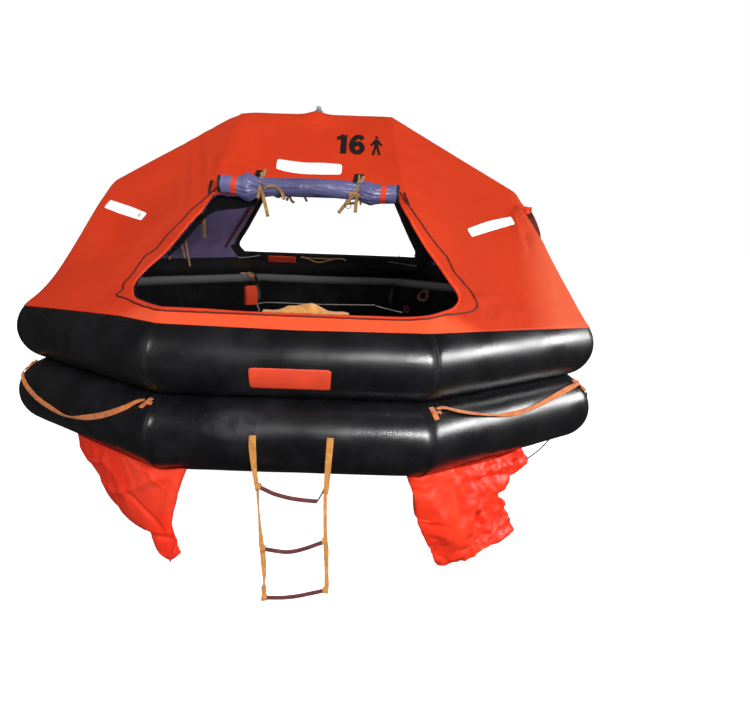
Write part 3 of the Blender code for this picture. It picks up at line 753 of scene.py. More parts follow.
def canopy_bmesh():
    """Both halves of the canopy as one sheet, before its folds."""
    ribs = canopy_ribs()
    work = bmesh.new()
    for sign in (1, -1):
        add_rows(work, [[(p.x, min(p.y, 0.0) * sign, p.z) for p in row] for row in ribs])
    bmesh.ops.remove_doubles(work, verts=work.verts, dist=0.0004)
    for hand, (sign, reach, rounds) in ROUNDING.items():
        shoulder = Vector((sign * SHAPES[hand][0], 0.0, SHAPES[hand][1]))
        near = [v for v in work.verts if (v.co - shoulder).length < reach]
        for _ in range(rounds):
            bmesh.ops.smooth_vert(work, verts=near, factor=0.5,
                                  use_axis_x=True, use_axis_y=True, use_axis_z=True)
    faces_up(work)
    return work


# Folds of the front, most of them at its right: lines in x and z, width, height
FOLDS = ((((1.332, 0.984), (1.398, 0.884), (1.460, 0.774), (1.493, 0.644), (1.516, 0.513)), 0.022, 0.032),
         (((1.385, 0.973), (1.436, 0.851), (1.477, 0.708), (1.500, 0.609), (1.533, 0.464)), 0.018, -0.022),
         (((1.294, 0.951), (1.312, 0.848), (1.331, 0.761)), 0.018, 0.024),
         (((1.377, 0.840), (1.373, 0.720)), 0.022, -0.020),
         (((1.260, 0.955), (1.250, 0.880)), 0.018, -0.008),
         (((1.345, 0.760), (1.300, 0.700)), 0.016, 0.010),
         (((1.085, 0.500), (1.150, 0.470)), 0.018, 0.010),
         (((0.955, 0.500), (1.000, 0.480)), 0.018, 0.010),
         (((1.015, 0.450), (1.065, 0.415)), 0.018, -0.010),
         (((1.110, 0.425), (1.160, 0.390)), 0.018, 0.010),
         (((1.215, 0.440), (1.255, 0.400)), 0.018, 0.010),
         (((0.950, 0.405), (1.000, 0.385)), 0.018, 0.009),
         (((1.070, 0.390), (1.120, 0.370)), 0.018, 0.009),
         (((0.985, 0.630), (1.000, 0.560)), 0.016, 0.008),
         (((-1.300, 0.560), (-1.100, 0.500), (-0.960, 0.470)), 0.030, 0.004),
         (((-0.560, 1.230), (-0.600, 1.120)), 0.018, 0.006),
         (((-0.470, 1.250), (-0.500, 1.150)), 0.018, -0.005))


def away_from(x, z, line):
    """Distance of a place from a line of points in x and z, and the part of the line passed there."""
    best = (9.0, 0.0)
    for i, ((ax, az), (bx, bz)) in enumerate(zip(line, line[1:])):
        dx, dz = bx - ax, bz - az
        part = clamp(((x - ax) * dx + (z - az) * dz) / (dx * dx + dz * dz))
        off = math.hypot(x - ax - dx * part, z - az - dz * part)
        best = min(best, (off, (i + part) / (len(line) - 1)))
    return best


def fold_height(x, z):
    """Height of the folds at a place on the front; each fades along its line."""
    total = 0.0
    for line, width, height in FOLDS:
        off, part = away_from(x, z, line)
        total += height * bell(off, width) * (1 - 0.7 * part)
    return total


# Height up to which the canopy lies flat on the tube
HEM_TOP_Z = 0.36


def canopy_offset(p, front):
    """How far the fabric stands off its smooth shape at p: slack, folds, and a bump under the lamp."""
    total = 0.0035 * fbm(p, 1.6, 2, 3.0) + 0.0012 * fbm(p, 6.0, 2, 8.0)
    above_tube = p.z - HEM_TOP_Z
    if front:
        low_right = bell(p.x - 0.98, 0.42) * bell(p.z - 0.47, 0.10) * (p.x > 0.3)
        total += 0.013 * low_right * fbm(Vector((p.x, p.y * 0.5, p.z * 1.8)), 15.0, 2, 1.0)
        total += fold_height(p.x, p.z)
        upper_left = bell(p.x + 0.68, 0.20) * bell(p.z - 1.15, 0.25)
        total += 0.004 * upper_left * math.sin((p.x * 0.9 + p.z * 0.35) * 62)
    if p.z > RIDGE_Z - 0.02:
        total += BUMP_RISE * bell(p.x + 0.015, 0.060) - 0.009 * bell(p.x + RIDGE_HALF, 0.06)
    crease = bell(above_tube, 0.10)
    total += 0.0022 * crease * fbm(Vector((p.x * 2, p.y * 2, p.z * 0.4)), 9.0, 2, 5.0)
    return total * clamp(above_tube / 0.05)


# The front opening as its cloth hangs, x and z anticlockwise from the bottom; it is a little uneven
FRONT_DOOR = ((-0.690, 0.442), (-0.480, 0.440), (-0.277, 0.434), (0.060, 0.430), (0.409, 0.432),
              (0.590, 0.434), (0.770, 0.455), (0.835, 0.476), (0.860, 0.507), (0.848, 0.545),
              (0.805, 0.602), (0.742, 0.690), (0.683, 0.768), (0.606, 0.891), (0.548, 0.985),
              (0.525, 1.022), (0.490, 1.030), (-0.530, 1.026), (-0.565, 1.000), (-0.600, 0.935),
              (-0.668, 0.845), (-0.719, 0.766), (-0.775, 0.687), (-0.858, 0.606), (-0.906, 0.545),
              (-0.910, 0.500), (-0.870, 0.462), (-0.790, 0.449))
REAR_DOOR = ((-0.720, 0.588), (-0.600, 0.584), (-0.550, 0.588), (-0.460, 0.576), (-0.200, 0.571),
             (0.200, 0.572), (0.545, 0.576), (0.560, 0.586), (0.700, 0.588), (0.735, 0.602),
             (0.742, 0.635), (0.690, 0.735), (0.523, 1.052), (0.500, 1.064), (-0.485, 1.064),
             (-0.512, 1.052), (-0.772, 0.640), (-0.766, 0.605))
# On the inside a zipped flap covers part of the rear opening on its left
REAR_LINING_DOOR = ((-0.620, 0.602), (0.700, 0.602), (0.722, 0.618), (0.728, 0.650), (0.700, 0.710),
                    (0.513, 1.060), (0.490, 1.070), (-0.378, 1.074), (-0.403, 1.064), (-0.672, 0.690),
                    (-0.682, 0.650), (-0.664, 0.615))


def smooth_line(points, steps=10, closed=False):
    """Catmull-Rom line through points."""
    out = []
    count = len(points)
    last = count if closed else count - 1
    for i in range(last):
        p1, p2 = points[i], points[(i + 1) % count]
        p0 = points[i - 1] if (i > 0 or closed) else p1 + (p1 - p2)
        p3 = points[(i + 2) % count] if (i + 2 < count or closed) else p2 + (p2 - p1)
        for k in range(steps):
            t = k / steps
            out.append(0.5 * ((2 * p1) + (p2 - p0) * t + (2 * p0 - 5 * p1 + 4 * p2 - p3) * t * t
                              + (3 * p1 - p0 - 3 * p2 + p3) * t ** 3))
    if not closed:
        out.append(points[-1].copy())
    return out


def curve(points, steps):
    """Smooth line through places given as numbers."""
    return smooth_line([Vector(p) for p in points], steps)


def grown(outline, distance):
    """The outline moved outward by a distance, for an anticlockwise outline."""
    out = []
    count = len(outline)
    for i, here in enumerate(outline):
        along = (outline[(i + 1) % count] - outline[i - 1]).normalized()
        out.append(here + Vector((along.y, -along.x)) * distance)
    return out


def door_outline(points, grow=0.0):
    """Smooth outline of a door opening in x and z, anticlockwise from its lower left."""
    line = [Vector(p) for p in points]
    dense = []
    for a, b in zip(line, line[1:] + line[:1]):
        parts = 3 if (b - a).length > 0.2 else 1
        dense += [a.lerp(b, i / parts) for i in range(parts)]
    return grown(smooth_line(dense, 4, closed=True), grow)


def resample(points, step, closed=True):
    """Points at even steps along a line of 2D or 3D points."""
    line = list(points) + ([points[0]] if closed else [])
    out = []
    for a, b in zip(line, line[1:]):
        count = max(1, round((b - a).length / step))
        out += [a.lerp(b, i / count) for i in range(count)]
    if not closed:
        out.append(line[-1])
    return out


def inside_outline(x, z, outline):
    """Whether a place lies inside a closed outline."""
    hit = False
    for a, b in zip(outline, outline[1:] + outline[:1]):
        if (a.y > z) != (b.y > z) and x < (b.x - a.x) * (z - a.y) / (b.y - a.y) + a.x:
            hit = not hit
    return hit


def nearest_on(x, z, outline):
    """The place on a closed outline that is nearest to x and z."""
    best = None
    here = Vector((x, z))
    for a, b in zip(outline, outline[1:] + outline[:1]):
        side = b - a
        part = clamp((here - a).dot(side) / max(side.length_squared, 1e-12))
        spot = a + side * part
        if best is None or (spot - here).length_squared < (best - here).length_squared:
            best = spot
    return best


def cut_door(work, outline, sign):
    """Opens a door: faces inside the outline go, and the edge left moves onto it."""
    going = []
    for face in work.faces:
        middle = face.calc_center_median()
        if middle.y * sign > 0.15 and inside_outline(middle.x, middle.z, outline):
            going.append(face)
    rim = {v for f in going for v in f.verts}
    bmesh.ops.delete(work, geom=going, context="FACES")
    for vert in rim:
        if not vert.is_valid or not vert.link_faces:
            continue
        spot = nearest_on(vert.co.x, vert.co.z, outline)
        normal = vert.normal
        if abs(normal.y) > 0.1:
            vert.co.y -= (normal.x * (spot.x - vert.co.x) + normal.z * (spot.y - vert.co.z)) / normal.y
        vert.co.x, vert.co.z = spot.x, spot.y
    drop_loose(work)


def make_canopy():
    """The orange sheet; returns its surface before the doors are cut."""
    work = canopy_bmesh()
    work.normal_update()
    moves = [(v, v.normal.copy() * canopy_offset(v.co, v.co.y < 0)) for v in work.verts]
    for vert, move in moves:
        vert.co += move
    work.normal_update()
    shell = BVHTree.FromBMesh(work)
    for points, sign in ((FRONT_DOOR, -1), (REAR_DOOR, 1)):
        cut_door(work, door_outline(points), sign)
    faces_up(work)
    mesh = saved(work, bpy.data.meshes.new("canopy_sheet"))
    made = piece("canopy_sheet", mesh, ORANGE, replaces=("canopy_front", "canopy_rear"))
    solidify(made, 0.0025, -1.0)
    return shell


SHELL = make_canopy()


def front_at(x, z, sign=-1):
    """Place and normal of the canopy's front (sign -1) or rear panel at x and z."""
    place, normal, _, _ = SHELL.ray_cast(Vector((x, 3.0 * sign, z)), Vector((0.0, -sign, 0.0)))
    if normal.z < 0:
        normal = -normal
    return place, normal


def on_panel(x, z, lift=0.0, sign=-1):
    """A place on the front (sign -1) or rear panel, lifted off it."""
    place, normal = front_at(x, z, sign)
    return place + normal * lift


# Height below which the lining is painted black as shade by the tube
LINING_SHADE_Z = 0.548
# Black borders of the doors: parts of their width that have a row of points, and their lift off the lining
BORDER_PARTS, BORDER_LIFT = (0.0, 0.35, 0.7, 1.0), 0.004


def border_strip(name, shell, sign, outline, widths):
    """A black strip inside the lining, from a door's edge outward by a width for each point."""
    wide = [a + (b - a).normalized() * w for a, b, w in zip(outline, grown(outline, 0.01), widths)]
    rows = []
    for a, b in zip(outline + outline[:1], wide + wide[:1]):
        row = []
        for part in BORDER_PARTS:
            flat = a.lerp(b, part)
            place, normal, _, _ = shell.ray_cast(Vector((flat.x, -0.2 * sign, flat.y)), ALONG_Y * -sign)
            if place is None:
                place = row[-1] if row else rows[-1][0]
            else:
                if normal.y * sign < 0:
                    normal = -normal
                place = place + normal * BORDER_LIFT
            row.append(place)
        rows.append(row)
    cloth_piece(name, rows, LINING_BLACK, 0.0015)


def border_width(p, sign):
    """Width of the border at a place of the outline; the rear one is widened at its right and at its foot as
    painted shade.
    """
    if sign > 0:
        return 0.030
    # Painted shade: the rear border widens over the dark lining at the right side and at the foot
    return 0.030 + (0.050 * (p.x > 0.3) * (1 + max(0.0, 0.85 - p.y) * 3) + 0.035 * (p.y < 0.66))


def lining_bmesh(sign):
    """One inner skin before its door is cut, slack and puckered."""
    ribs = canopy_ribs(LINING_INSET)
    rows = [[Vector((p.x, min(p.y, -0.05) * sign, p.z)) for p in row[:-2]] for row in ribs]
    work = bmesh.new()
    add_rows(work, rows)
    bmesh.ops.remove_doubles(work, verts=work.verts, dist=0.0002)
    bmesh.ops.recalc_face_normals(work, faces=work.faces)
    for vert in work.verts:
        slack = 0.006 * fbm(vert.co, 3.0, 3, 11.0)
        hung = Vector((vert.co.x * 3, vert.co.y * 3, vert.co.z * 0.6))
        vert.co -= vert.co.normalized() * (0.005 + slack + 0.004 * fbm(hung, 3.0, 2, 2.0))
    return work


def make_lining(word, sign, door):
    """A lavender inner skin, painted black below a height as shade by the tube, with a black border round its
    door.
    """
    work = lining_bmesh(sign)
    uncut = BVHTree.FromBMesh(work)
    outline = door_outline(door, 0.004)
    cut_door(work, outline, -sign)
    every = list(work.verts) + list(work.edges) + list(work.faces)
    bmesh.ops.bisect_plane(work, geom=every, dist=0.0001, plane_co=UPWARD * LINING_SHADE_Z, plane_no=UPWARD)
    # Painted shade: the lining is black below this height
    paint_faces(work, lambda middle: int(middle.z < LINING_SHADE_Z))
    mesh = bpy.data.meshes.new("lining_sheet_" + word)
    add_materials(mesh, LAVENDER, LINING_BLACK)
    made = piece("lining_sheet_" + word, saved(work, mesh), LAVENDER, replaces=("lining_" + word,))
    solidify(made, 0.0015)
    border_strip("door_border_" + word, uncut, sign, outline, [border_width(p, sign) for p in outline])


make_lining("front", 1, FRONT_DOOR)
make_lining("rear", -1, REAR_LINING_DOOR)


def heading(line, i):
    """From the point before to the point after point i of a line."""
    return line[min(i + 1, len(line) - 1)] - line[max(i - 1, 0)]


# Cross-section of webbing in half widths and half thicknesses, and the most sides its open end can have
UNDERSIDE = ((-1, -0.4), (-0.97, -1), (-0.5, -1.05), (0, -1.05), (0.5, -1.05), (0.97, -1), (1, -0.4))
STRAP_SECTION = UNDERSIDE + tuple((-a, -b) for a, b in UNDERSIDE)
STRAP_END = 20


def ribbon(name, line, sides, width, thickness, surface, body="root", replaces=()):
    """A flat strap along a line; sides and width are the same all along it or a list."""
    if isinstance(sides, Vector):
        sides = [sides] * len(line)
    widths = width if isinstance(width, list) else [width] * len(line)
    rows = []
    for i, (point, side, wide) in enumerate(zip(line, sides, widths)):
        ahead = heading(line, i)
        side = (side - ahead * (side.dot(ahead) / max(ahead.length_squared, 1e-12))).normalized()
        up = ahead.cross(side).normalized()
        half, t = wide / 2, thickness / 2
        rows.append([point + side * (half * a) + up * (t * b) for a, b in STRAP_SECTION])
    mesh = outward_faces(grid_mesh(name, rows, close=True), STRAP_END)
    return piece(name, mesh, surface, body, replaces)


def tube_along(name, line, radius, surface, body="root", replaces=(), sides=8):
    """A round cord along a line of points."""
    rows = []
    up = Vector((0.0, 0.3, 1.0))
    for i, point in enumerate(line):
        ahead = heading(line, i).normalized()
        side = ahead.cross(up)
        if side.length < 0.05:
            side = ahead.cross(Vector((1.0, 0.2, 0.0)))
        side.normalize()
        up = side.cross(ahead).normalized()
        turns = [math.tau * j / sides for j in range(sides)]
        rows.append([point + (side * math.cos(turn) + up * math.sin(turn)) * radius for turn in turns])
    return piece(name, outward_faces(grid_mesh(name, rows, close=True), sides), surface, body, replaces)


def free_cord(name, line, radius, surface, body="root"):
    made = tube_along(name, line, radius, surface, body)


# Cross-section of the doors' rolled edge: part of its width, and lift off the panel
HEM_WIDTH = 0.012
HEM_SECTION = ((0.0, -0.007), (0.0, 0.001), (0.3, 0.0026), (0.8, 0.0022), (1.0, 0.0006))


def make_door_trim(word, sign, points):
    """Rolled edge of a door opening."""
    rows = []
    for a, b in zip(door_outline(points), door_outline(points, HEM_WIDTH)):
        rows.append([on_panel(*a.lerp(b, part), lift, sign) for part, lift in HEM_SECTION])
    rows.append(rows[0])
    piece("door_hem_" + word, outward_faces(grid_mesh("door_hem_" + word, rows)), ORANGE_HEM)


make_door_trim("front", -1, FRONT_DOOR)
make_door_trim("rear", 1, REAR_DOOR)

# The dark seam that wanders round the front door, x and z from one end of the roll to the other
FRONT_SEAM = ((-0.545, 1.060), (-0.589, 1.007), (-0.680, 0.921), (-0.720, 0.865), (-0.799, 0.774),
              (-0.846, 0.699), (-0.910, 0.656), (-0.951, 0.566), (-0.989, 0.509), (-0.978, 0.481),
              (-1.006, 0.453), (-0.942, 0.447), (-0.802, 0.430), (-0.640, 0.424), (-0.277, 0.421),
              (0.060, 0.419), (0.409, 0.418), (0.586, 0.420), (0.768, 0.436), (0.885, 0.436),
              (0.955, 0.450), (0.967, 0.478), (0.925, 0.549), (0.847, 0.635), (0.809, 0.710),
              (0.740, 0.788), (0.658, 0.899), (0.573, 1.013), (0.538, 1.069))
SEAM_LIFT = 0.0016


def make_seam():
    """The doors' seams: the front one wanders and wobbles, the rear one keeps off its door's edge."""
    line = resample(curve(FRONT_SEAM, 4), 0.010, closed=False)
    shaken = []
    for p in line:
        wobble = 0.003 * noise.noise(Vector((p.x, p.y, 0.0)) * 26)
        shaken.append(on_panel(p.x + wobble, p.y + wobble * 0.6, SEAM_LIFT))
    tube_along("door_seam_front", shaken, 0.0050, THREAD, sides=6)
    rear = [on_panel(p.x, p.y, SEAM_LIFT, 1) for p in door_outline(REAR_DOOR, 0.075)]
    tube_along("door_seam_rear", rear + [rear[0]], 0.0032, THREAD, sides=6)


make_seam()

# Black ends of the door's seam flaps beside the roll: top and low place in x and z, width
ZIP_ENDS = (((-0.588, 1.100), (-0.584, 1.024), 0.016), ((0.562, 1.066), (0.592, 0.985), 0.010))
# Black facing behind the left side of the front door: outer and inner edge in x and z, and the parts of its
# width that have a row of points
FACING = (((-0.300, 1.030), (-0.300, 0.990)), ((-0.380, 1.030), (-0.380, 0.974)),
          ((-0.470, 1.030), (-0.470, 0.962)), ((-0.545, 1.030), (-0.534, 0.948)),
          ((-0.600, 0.940), (-0.582, 0.914)), ((-0.668, 0.850), (-0.654, 0.832)),
          ((-0.719, 0.771), (-0.706, 0.755)), ((-0.775, 0.696), (-0.770, 0.690)))


FACING_PARTS = (0.0, 0.3, 0.6, 0.85, 1.0)


def make_facing():
    """The dark inner edge that shows between the orange rim and the lavender lining."""
    outer = curve([a for a, _ in FACING], 5)
    inner = curve([b for _, b in FACING], 5)
    rows = [[on_panel(*a.lerp(b, part), -0.022 - 0.012 * part) for part in FACING_PARTS]
            for a, b in zip(outer, inner)]
    cloth_piece("door_facing", rows, FACING_BLACK, 0.0015)


make_facing()


def make_zip_ends():
    """Black ends of the zips beside each roll."""
    for number, (top, low, width) in enumerate(ZIP_ENDS):
        for sign, word in ((-1, "front"), (1, "rear")):
            line = [on_panel(*Vector(top).lerp(Vector(low), i / 6), 0.004, sign) for i in range(7)]
            ribbon("zip_end_%s_%d" % (word, number + 1), line, ALONG_X, width, 0.005, CURTAIN_DARK)


make_zip_ends()


# Reflective strips, number and figure
PATCH_COLUMNS, PATCH_ROWS = 28, 8
TAPE_LIFT, PAINT_LIFT = 0.0055, 0.003


def panel_patch(name, top, low, sign):
    """A reflective tape on a panel between two lines of places in x and z, with rounded ends."""
    edges = []
    for line in (top, low):
        smooth = curve(line, 12)
        edges.append([smooth[round(i * (len(smooth) - 1) / PATCH_COLUMNS)] for i in range(PATCH_COLUMNS + 1)])
    grid = []
    for i in range(PATCH_ROWS + 1):
        v = i / PATCH_ROWS
        over = max(0.0, abs(2 * v - 1) - 0.5) / 0.5
        trim = 0.02 * (1 - math.sqrt(1 - over ** 2))
        row = []
        for j in range(PATCH_COLUMNS + 1):
            u = trim + (1 - 2 * trim) * j / PATCH_COLUMNS
            at = u * PATCH_COLUMNS
            k = min(PATCH_COLUMNS - 1, int(at))
            a, b = (edge[k].lerp(edge[k + 1], at - k) for edge in edges)
            spot = a.lerp(b, v)
            row.append(on_panel(spot.x, spot.y, TAPE_LIFT, sign))
        grid.append(row)
    cloth_piece(name, grid, WHITE_TAPE, 0.0012)


# Reflective tapes: upper and lower edge
TAPES = {
    "front_middle": (((-0.218, 1.250), (-0.130, 1.239), (-0.040, 1.232), (0.070, 1.234), (0.182, 1.229)),
                     ((-0.218, 1.188), (-0.160, 1.172), (-0.060, 1.160), (0.060, 1.160), (0.182, 1.164))),
    "front_left": (((-1.326, 0.967), (-1.170, 0.932), (-1.015, 0.892)),
                   ((-1.358, 0.917), (-1.200, 0.878), (-1.044, 0.847))),
    "front_right": (((0.955, 0.865), (1.110, 0.915), (1.274, 0.950)),
                    ((0.984, 0.818), (1.140, 0.862), (1.294, 0.903))),
    "rear_middle": (((-0.2, 1.25), (0.0, 1.25), (0.2, 1.25)), ((-0.2, 1.18), (0.0, 1.18), (0.2, 1.18))),
}
# Capacity figure "16": centre lines of the painted strokes in a cell one unit high, and their width
ONE = (((0.02, 0.80), (0.16, 0.84), (0.30, 0.97)), ((0.32, 0.98), (0.32, 0.02)))
SIX = (((1.12, 0.78), (1.02, 0.90), (0.86, 0.89), (0.72, 0.72), (0.66, 0.48), (0.70, 0.25), (0.82, 0.12),
        (0.98, 0.12), (1.10, 0.26), (1.09, 0.44), (0.98, 0.55), (0.82, 0.52), (0.72, 0.40)),)
STROKES = ((ONE[1], 0.26), (ONE[0], 0.17), (SIX[0], 0.22))
NUMBER_LEFT, NUMBER_LOW, NUMBER_WIDE, NUMBER_HIGH = 0.134, 1.300, 0.148, 0.131
# Standing figure beside it: outlines in millimetres from its middle and its feet, and its place
HEAD = tuple((9 * math.cos(math.tau * i / 14), 121 + 10 * math.sin(math.tau * i / 14)) for i in range(14))
BODY = ((-15, 106), (15, 106), (13, 56), (-13, 56))
ARM = ((-10, 106), (-40, 68), (-31, 60), (-7, 84))
LEG = ((-13, 60), (-29, 2), (-13, 0), (2, 58))
FIGURE_X, FIGURE_Z = 0.388, 1.298


def painted_stroke(number, line, width):
    """A stroke of the capacity figure; each lies a little over the one before."""
    smooth = curve(line, 8)
    rows = []
    for i, point in enumerate(smooth):
        ahead = heading(smooth, i).normalized()
        across = Vector((-ahead.y, ahead.x)) * width / 2
        places = [point + across * t for t in (-1.0, 0.0, 1.0)]
        rows.append([on_panel(NUMBER_LEFT + NUMBER_WIDE * p.x, NUMBER_LOW + NUMBER_HIGH * p.y,
                              PAINT_LIFT + 0.0002 * number) for p in places])
    name = "capacity_stroke_%d" % (number + 1)
    piece(name, outward_faces(grid_mesh(name, rows)), PAINT_BLACK, smooth=False)


def painted_figure():
    """The standing figure of the capacity mark."""
    work = bmesh.new()
    for shape in (HEAD, BODY, ARM, LEG, [(-x, z) for x, z in ARM], [(-x, z) for x, z in LEG]):
        places = [on_panel(FIGURE_X + x / 1000, FIGURE_Z + z / 1000, PAINT_LIFT) for x, z in shape]
        work.faces.new([work.verts.new(place) for place in places])
    bmesh.ops.triangulate(work, faces=work.faces)
    mesh = saved(work, bpy.data.meshes.new("capacity_figure"))
    piece("capacity_figure", outward_faces(mesh), PAINT_BLACK, smooth=False)


def make_markings():
    for word, (top, low) in TAPES.items():
        panel_patch("tape_" + word, top, low, 1 if word.startswith("rear") else -1)
    for number, (line, width) in enumerate(STROKES):
        painted_stroke(number, line, width)
    painted_figure()


make_markings()


# Rolled door curtains: where along x they are tied, where their orange bands are, and where they end
TIE_PLACES = (-0.275, 0.283)
BAND_PLACES = (-0.428, 0.437)
ROLL_ENDS = (-0.522, 0.530)


def end_distance(x):
    return min(x - ROLL_ENDS[0], ROLL_ENDS[1] - x)


def roll_radius(x):
    """Radius of the rolled curtain along its length: nipped where it is tied, bunched beside the ties."""
    r = 0.0510
    for tie, way, bunch in zip(TIE_PLACES, (-1, 1), (0.026, 0.009)):
        r -= 0.012 * bell(x - tie, 0.024)
        r += bunch * bell(x - tie - way * 0.072, 0.042)
    if end_distance(x) < 0.012:
        r *= 0.96
    return r


# Height of the roll's middle line above its seat, along x
ROLL_LINE = ((-0.53, 0.021), (-0.46, 0.018), (-0.38, 0.007), (-0.24, 0.010), (0.04, 0.018), (0.18, 0.012),
             (0.30, 0.001), (0.38, -0.009), (0.53, -0.005))
REAR_ROLL_RISE = 0.052


def roll_rise(x, sign):
    """Height of the front (sign -1) or rear roll's middle above its seat."""
    return between(ROLL_LINE, x) if sign < 0 else REAR_ROLL_RISE


def curtain_seat(sign):
    """Where the middle of a roll rests before the panel."""
    place, normal = front_at(0.0, ROLL_Z, sign)
    return place + normal * 0.064 - UPWARD * 0.010


def curtain_bulge(x, turn):
    """How far the crumpled roll stands off its round section."""
    c, s = math.cos(turn), math.sin(turn)
    bunch = sum(bell(x - tie - way * 0.055, 0.075) for tie, way in zip(TIE_PLACES, (-1, 1)))
    near = min(abs(x - tie) for tie in TIE_PLACES)
    drift = 2.2 * fbm(Vector((x * 3, c, s)), 1.4, 2, 3.0)
    pleat = (0.0042 * math.sin(turn * 9 + drift) + 0.0025 * math.sin(turn * 17 - drift)) * bell(near, 0.06)
    ridge = 0.5 - abs(fbm(Vector((x * 9, c * 1.6 + x * 2, s * 1.6)), 1.5, 2, 4.0))
    crinkle = 0.0026 * fbm(Vector((x * 5, c * 1.5, s * 1.5)), 2.0, 3, 9.0)
    lap = 0.0035 * max(0.0, math.cos(turn - 2.5 + x * 0.8)) ** 10
    return pleat + 0.012 * bunch * ridge + crinkle + lap


ROLL_STEPS, ROLL_AROUND = 280, 110
BAND_HALF, END_WIDTH = 0.016, 0.019


def roll_rows(seat, sign):
    """Rings of points along a roll, drawn in at its ends."""
    rows = []
    for i in range(ROLL_STEPS + 1):
        x = ROLL_ENDS[0] + (ROLL_ENDS[1] - ROLL_ENDS[0]) * i / ROLL_STEPS
        middle_z = seat.z + roll_rise(x, sign)
        row = []
        for j in range(ROLL_AROUND):
            turn = math.tau * j / ROLL_AROUND
            r = roll_radius(x) + curtain_bulge(x, turn)
            row.append(Vector((x, seat.y + r * math.cos(turn), middle_z + r * math.sin(turn) * 1.02)))
        rows.append(row)
    ends = []
    for row in (rows[0], rows[-1]):
        middle = sum(row, Vector()) / len(row)
        ends.append([[middle + (p - middle) * scale for p in row] for scale in (0.55, 0.12)])
    return ends[0][::-1] + rows + ends[1]


def roll_surface(middle, seat):
    """Number of the roll's material: 1 for its orange bands, 2 for its dark ends."""
    x = middle.x + 0.004 * noise.noise(middle * 30)
    slant = 0.10 * (middle.z - seat.z)
    if min(abs(x - slant - band) for band in BAND_PLACES) < BAND_HALF:
        return 1
    return 2 if end_distance(x) < END_WIDTH else 0


def make_curtain(word, sign):
    seat = curtain_seat(sign)
    mesh = grid_mesh("curtain_" + word, roll_rows(seat, sign), close=True)
    add_materials(mesh, CURTAIN_BLUE, ORANGE_HEM, CURTAIN_DARK)
    outward_faces(mesh, ROLL_AROUND + 4)
    work = bmesh.new()
    work.from_mesh(mesh)
    paint_faces(work, lambda middle: roll_surface(middle, seat))
    roll = piece("curtain_" + word, saved(work, mesh), CURTAIN_BLUE, replaces=("curtain_roll_" + word,))


make_curtain("front", -1)
make_curtain("rear", 1)


# Straps of each tie, as places beside and above its middle on the roll; the last one is a thin cord
TIE_STRAPS = {
    "left": (((-0.032, 0.102), (-0.026, 0.078), (-0.004, 0.030), (0.012, -0.014), (0.030, -0.080),
              (0.050, -0.158)),
             ((-0.004, 0.122), (-0.012, 0.078), (-0.002, 0.020), (-0.004, -0.025), (-0.010, -0.056)),
             ((0.026, 0.002), (0.052, 0.016), (0.091, 0.014), (0.125, -0.014), (0.144, -0.058)),
             ((-0.012, 0.030), (0.020, 0.022), (0.052, 0.004))),
    "right": (((0.036, 0.098), (0.022, 0.058), (0.005, 0.014), (-0.034, -0.038), (-0.070, -0.082),
               (-0.102, -0.124)),
              ((0.004, 0.108), (0.006, 0.050), (0.003, 0.005), (-0.001, -0.055), (-0.005, -0.118)),
              ((-0.048, -0.016), (-0.020, -0.006), (0.006, -0.016), (0.018, -0.028)),
              ((-0.020, -0.030), (-0.034, -0.052), (-0.030, -0.082), (-0.046, -0.096), (-0.064, -0.082),
               (-0.062, -0.056), (-0.044, -0.036))),
}
# Black pads under the ties' ends: left, right, low and high side from the tie's middle
TIE_PADS = {"left": (-0.070, -0.014, 0.058, 0.112), "right": (-0.034, 0.018, 0.040, 0.110)}
STRAP_WIDE = 0.0205
# Lowest place of the rear ties below the roll's middle; what hangs lower is drawn up to it
REAR_TAIL = -0.045


def strap_place(seat, sign, x, rise, lift):
    """A place on the face of the roll, on the panel above it or hanging below it."""
    r = roll_radius(x) + lift
    if rise > r * 0.80:
        flat = on_panel(x, seat.z + rise, 0.006 + lift * 0.5, sign)
        edge = seat.y + sign * r * 0.60
        blend = min(1.0, (rise / r - 0.80) / 0.45)
        return Vector((x, edge + (flat.y - edge) * blend, seat.z + rise))
    held = max(-0.45, min(0.80, rise / r))
    return Vector((x, seat.y + sign * r * math.sqrt(1 - held ** 2), seat.z + rise))


def tie_strap(name, seat, sign, tie_x, k, shape, replaces):
    """Strap k of a tie round the roll; the fourth one is a cord."""
    short = [(x, z if sign < 0 else max(z, REAR_TAIL + 0.1 * (z - REAR_TAIL))) for x, z in shape]
    places = curve(short, 7)
    line = [strap_place(seat, sign, tie_x + p.x, p.y, 0.006 + 0.003 * k) for p in places]
    if k == 3:
        tube_along(name, line, 0.0022, LINE_DARK)
        return
    sides = []
    for i in range(len(places)):
        ahead = heading(places, i)
        twist = 0.35 * math.sin(i * 0.35 + k)
        sides.append(Vector((-ahead.y, sign * ahead.length * twist, ahead.x)).normalized())
    widths = [STRAP_WIDE * (1.0 - 0.35 * bell(p.y - 0.01, 0.03)) for p in places]
    ribbon(name, line, sides, widths, 0.0026, WEB_KHAKI, replaces=replaces)


def tie_pad(name, seat, sign, tie_x, box):
    """Black pad on the panel under a tie's ends."""
    left, right, low, high = box
    rows = []
    for i in range(6):
        z = seat.z + low + (high - low) * i / 5
        rows.append([on_panel(tie_x + left + (right - left) * j / 5 + 0.003 * i, z, 0.003, sign)
                     for j in range(6)])
    cloth_piece(name, rows, SEAM_BLACK, 0.003)


